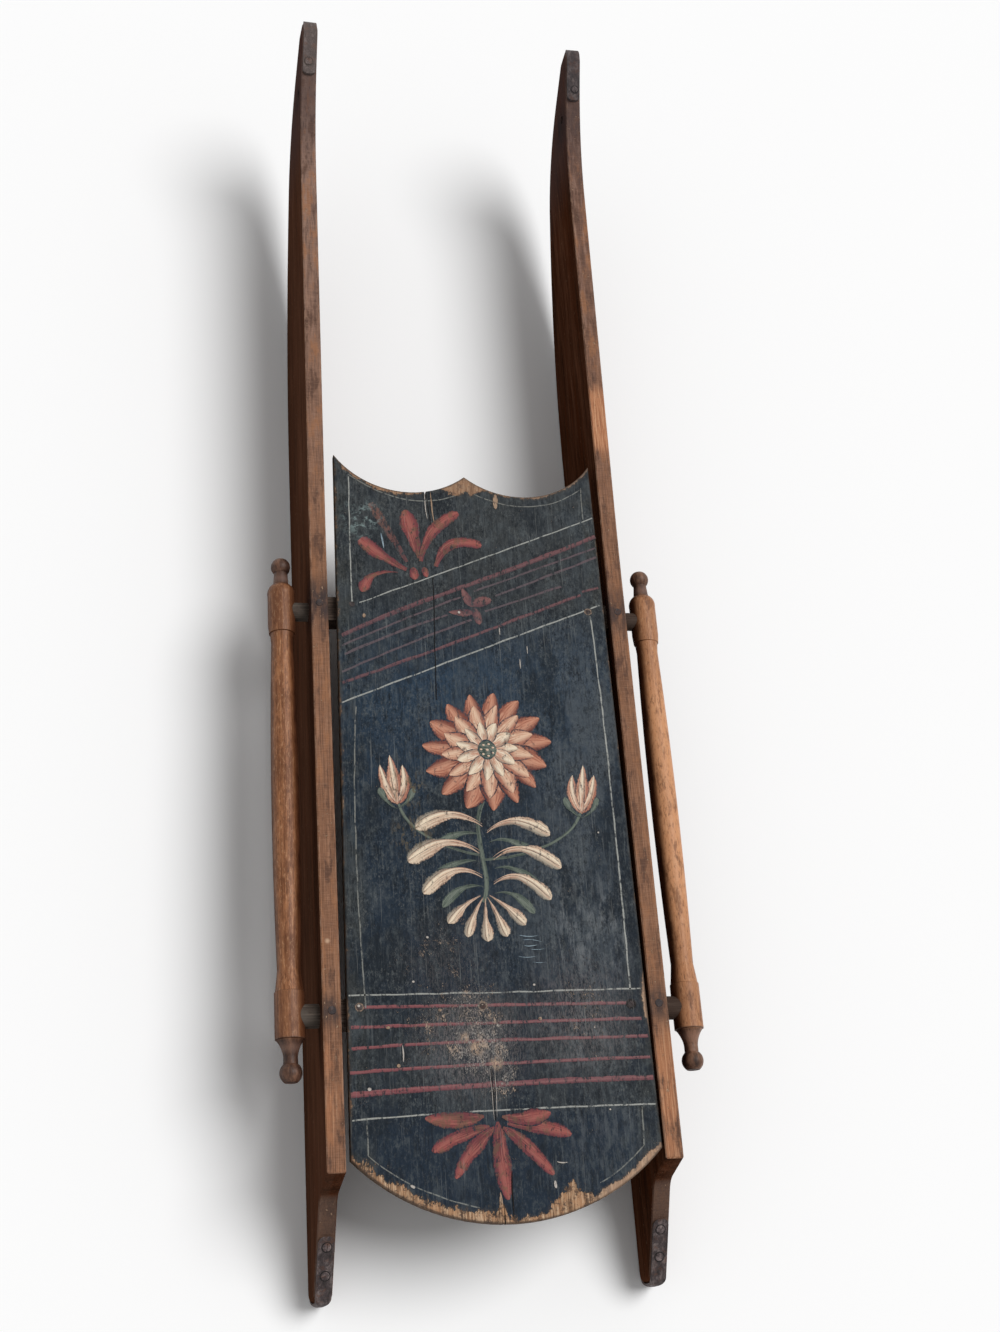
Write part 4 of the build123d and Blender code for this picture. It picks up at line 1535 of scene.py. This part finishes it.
def cut_slot(bm, radius, height):
    half = slot_share * radius
    for place in (-half, half):
        upper = [face for face in bm.faces if on_top(face, height)]
        edges = {edge for face in upper for edge in face.edges}
        verts = {vert for face in upper for vert in face.verts}
        bmesh.ops.bisect_plane(
            bm, geom=upper + list(edges) + list(verts), plane_co=(0, place, 0), plane_no=(0, 1, 0)
        )
    strip = [
        face for face in bm.faces
        if on_top(face, height) and abs(face.calc_center_median().y) < half and face.normal.z > 0.9
    ]
    sunk = bmesh.ops.extrude_discrete_faces(bm, faces=strip)["faces"]
    floor_verts = list({vert for face in sunk for vert in face.verts})
    bmesh.ops.translate(bm, verts=floor_verts, vec=(0, 0, -0.5 * height))


def head_mesh(radius, height, slotted):
    """A head standing on z 0 that measures in millimetres."""
    bm = bmesh.new()
    bmesh.ops.create_cone(
        bm, cap_ends=True, segments=head_sides, radius1=radius, radius2=taper_share * radius,
        depth=height, matrix=Matrix.Translation((0, 0, height / 2)),
    )
    bm.faces.ensure_lookup_table()
    top = max(bm.faces, key=lambda face: face.calc_center_median().z)
    bmesh.ops.inset_region(bm, faces=[top], thickness=rim_share * radius, depth=rim_step)
    if slotted:
        cut_slot(bm, radius, height)
    return bm


print("a head has", head_sides, "sides")

# %% [markdown]
# ## Setting the heads
# A head must sit square on whatever it is driven into, and the noses slope. Its height and tilt
# could be measured one by one. Dropping a ray from above finds the surface and its direction
# by itself, and the head is turned to match and sunk by a tenth of a millimetre.

# %% Set heads on a surface
above_all = 400  # mm, higher than any piece of the sled
sunk_in = 0.1  # mm


def land(name, x, y):
    """Place and outward direction of the surface of a piece, straight below x and y."""
    piece = nodes[name]
    tree = BVHTree.FromObject(piece, bpy.context.evaluated_depsgraph_get())
    start = piece.matrix_world.inverted() @ on_sled(x, y, above_all)
    found, normal, _, _ = tree.ray_cast(start, Vector((0, 0, -1)))
    return piece.matrix_world @ found, normal


def set_heads(name, material, heads):
    """Set a table of heads as one piece that rides with the sled."""
    whole = bmesh.new()
    for below, x, y, radius, height, slotted, turn in heads:
        place, normal = land(below, x, y)
        bm = head_mesh(radius, height, slotted)
        upright = normal.to_track_quat("Z", "Y").to_matrix().to_4x4()
        pose = Matrix.Translation(place - normal * sunk_in * MM) @ upright
        pose = pose @ Matrix.Rotation(math.radians(turn), 4, "Z") @ Matrix.Scale(MM, 4)
        bmesh.ops.transform(bm, matrix=pose, verts=bm.verts)
        part = bpy.data.meshes.new("head")
        bm.to_mesh(part)
        bm.free()
        whole.from_mesh(part)
        bpy.data.meshes.remove(part)
    mesh = bpy.data.meshes.new(name)
    whole.to_mesh(mesh)
    whole.free()
    piece = bpy.data.objects.new(name, mesh)
    bpy.context.scene.collection.objects.link(piece)
    mesh.materials.append(material)
    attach(piece, "root")
    print(name, "has", len(heads), "heads and", len(mesh.polygons), "faces")


print("heads are sunk", sunk_in, "mm into what they hold")

# %% [markdown]
# ## Driving them in
# Five screws hold the deck, four nails pin the tenons, and six screws hold the straps, each in a
# little dark disc, dirt and a painted shadow round the head, that makes it stand out from the rust.
# The slots point every way, because nobody lined them up. A new iron could be mixed for the heads,
# but they rusted beside the shoes, so they wear the same one, darker on the deck and paler where the
# straps rub clean.

# %% Drive in the screws and nails
head_iron = iron_finish("head_dark_iron", dark=0.6)
strap_screw_iron = iron_finish("head_strap_iron", dark=1.5)
dirt_and_shadow_iron = iron_finish("head_dirt_and_shadow", dark=0.12)
# Columns: the piece below, x, y, radius and height in mm, whether it has a slot, turn in degrees
set_heads("deck_screws", head_iron, (
    ("deck", -116.4, 2.7, 2.9, 0.35, True, 20),
    ("deck", -13.1, 1.5, 2.9, 0.35, True, 75),
    ("deck", 115.8, 0.4, 3.1, 0.30, True, 130),
    ("deck", -109.7, 368.3, 2.7, 0.35, True, 50),
    ("deck", 111.7, 367.6, 2.7, 0.35, True, 165),
))
set_heads("tenon_pins", head_iron, [
    (board, x, y, 3.6, 0.5, False, 0)
    for y in (front_bar_y, 0)
    for board, x in (("runner_left", -board_x), ("runner_right", board_x))
])
# Columns: the piece below, x, y, radius of the screw and of its dark disc of dirt and painted shadow
# in mm, turn in degrees
strap_places = (
    ("shoe_left", -139.4, 953.5, 3.9, 5.3, 80),
    ("shoe_right", 139.4, 952.5, 3.6, 5.0, 110),
    ("shoe_left", -141.0, -178, 3.8, 4.9, 80),
    ("shoe_left", -141.5, -199, 3.8, 4.9, 15),
    ("shoe_right", 141.0, -178, 3.8, 4.9, 60),
    ("shoe_right", 141.5, -199, 3.8, 4.9, 150),
)
set_heads("strap_screws", strap_screw_iron, [
    (shoe, x, y, radius, 0.7, True, turn) for shoe, x, y, radius, _, turn in strap_places
])
# Each strap screw sits in a dark disc of dirt and painted shadow round its head.
set_heads("strap_screw_dirt_and_shadow", dirt_and_shadow_iron, [
    (shoe, x, y, dirt, 0.2, False, 0) for shoe, x, y, _, dirt, _ in strap_places
])

# %% [markdown]
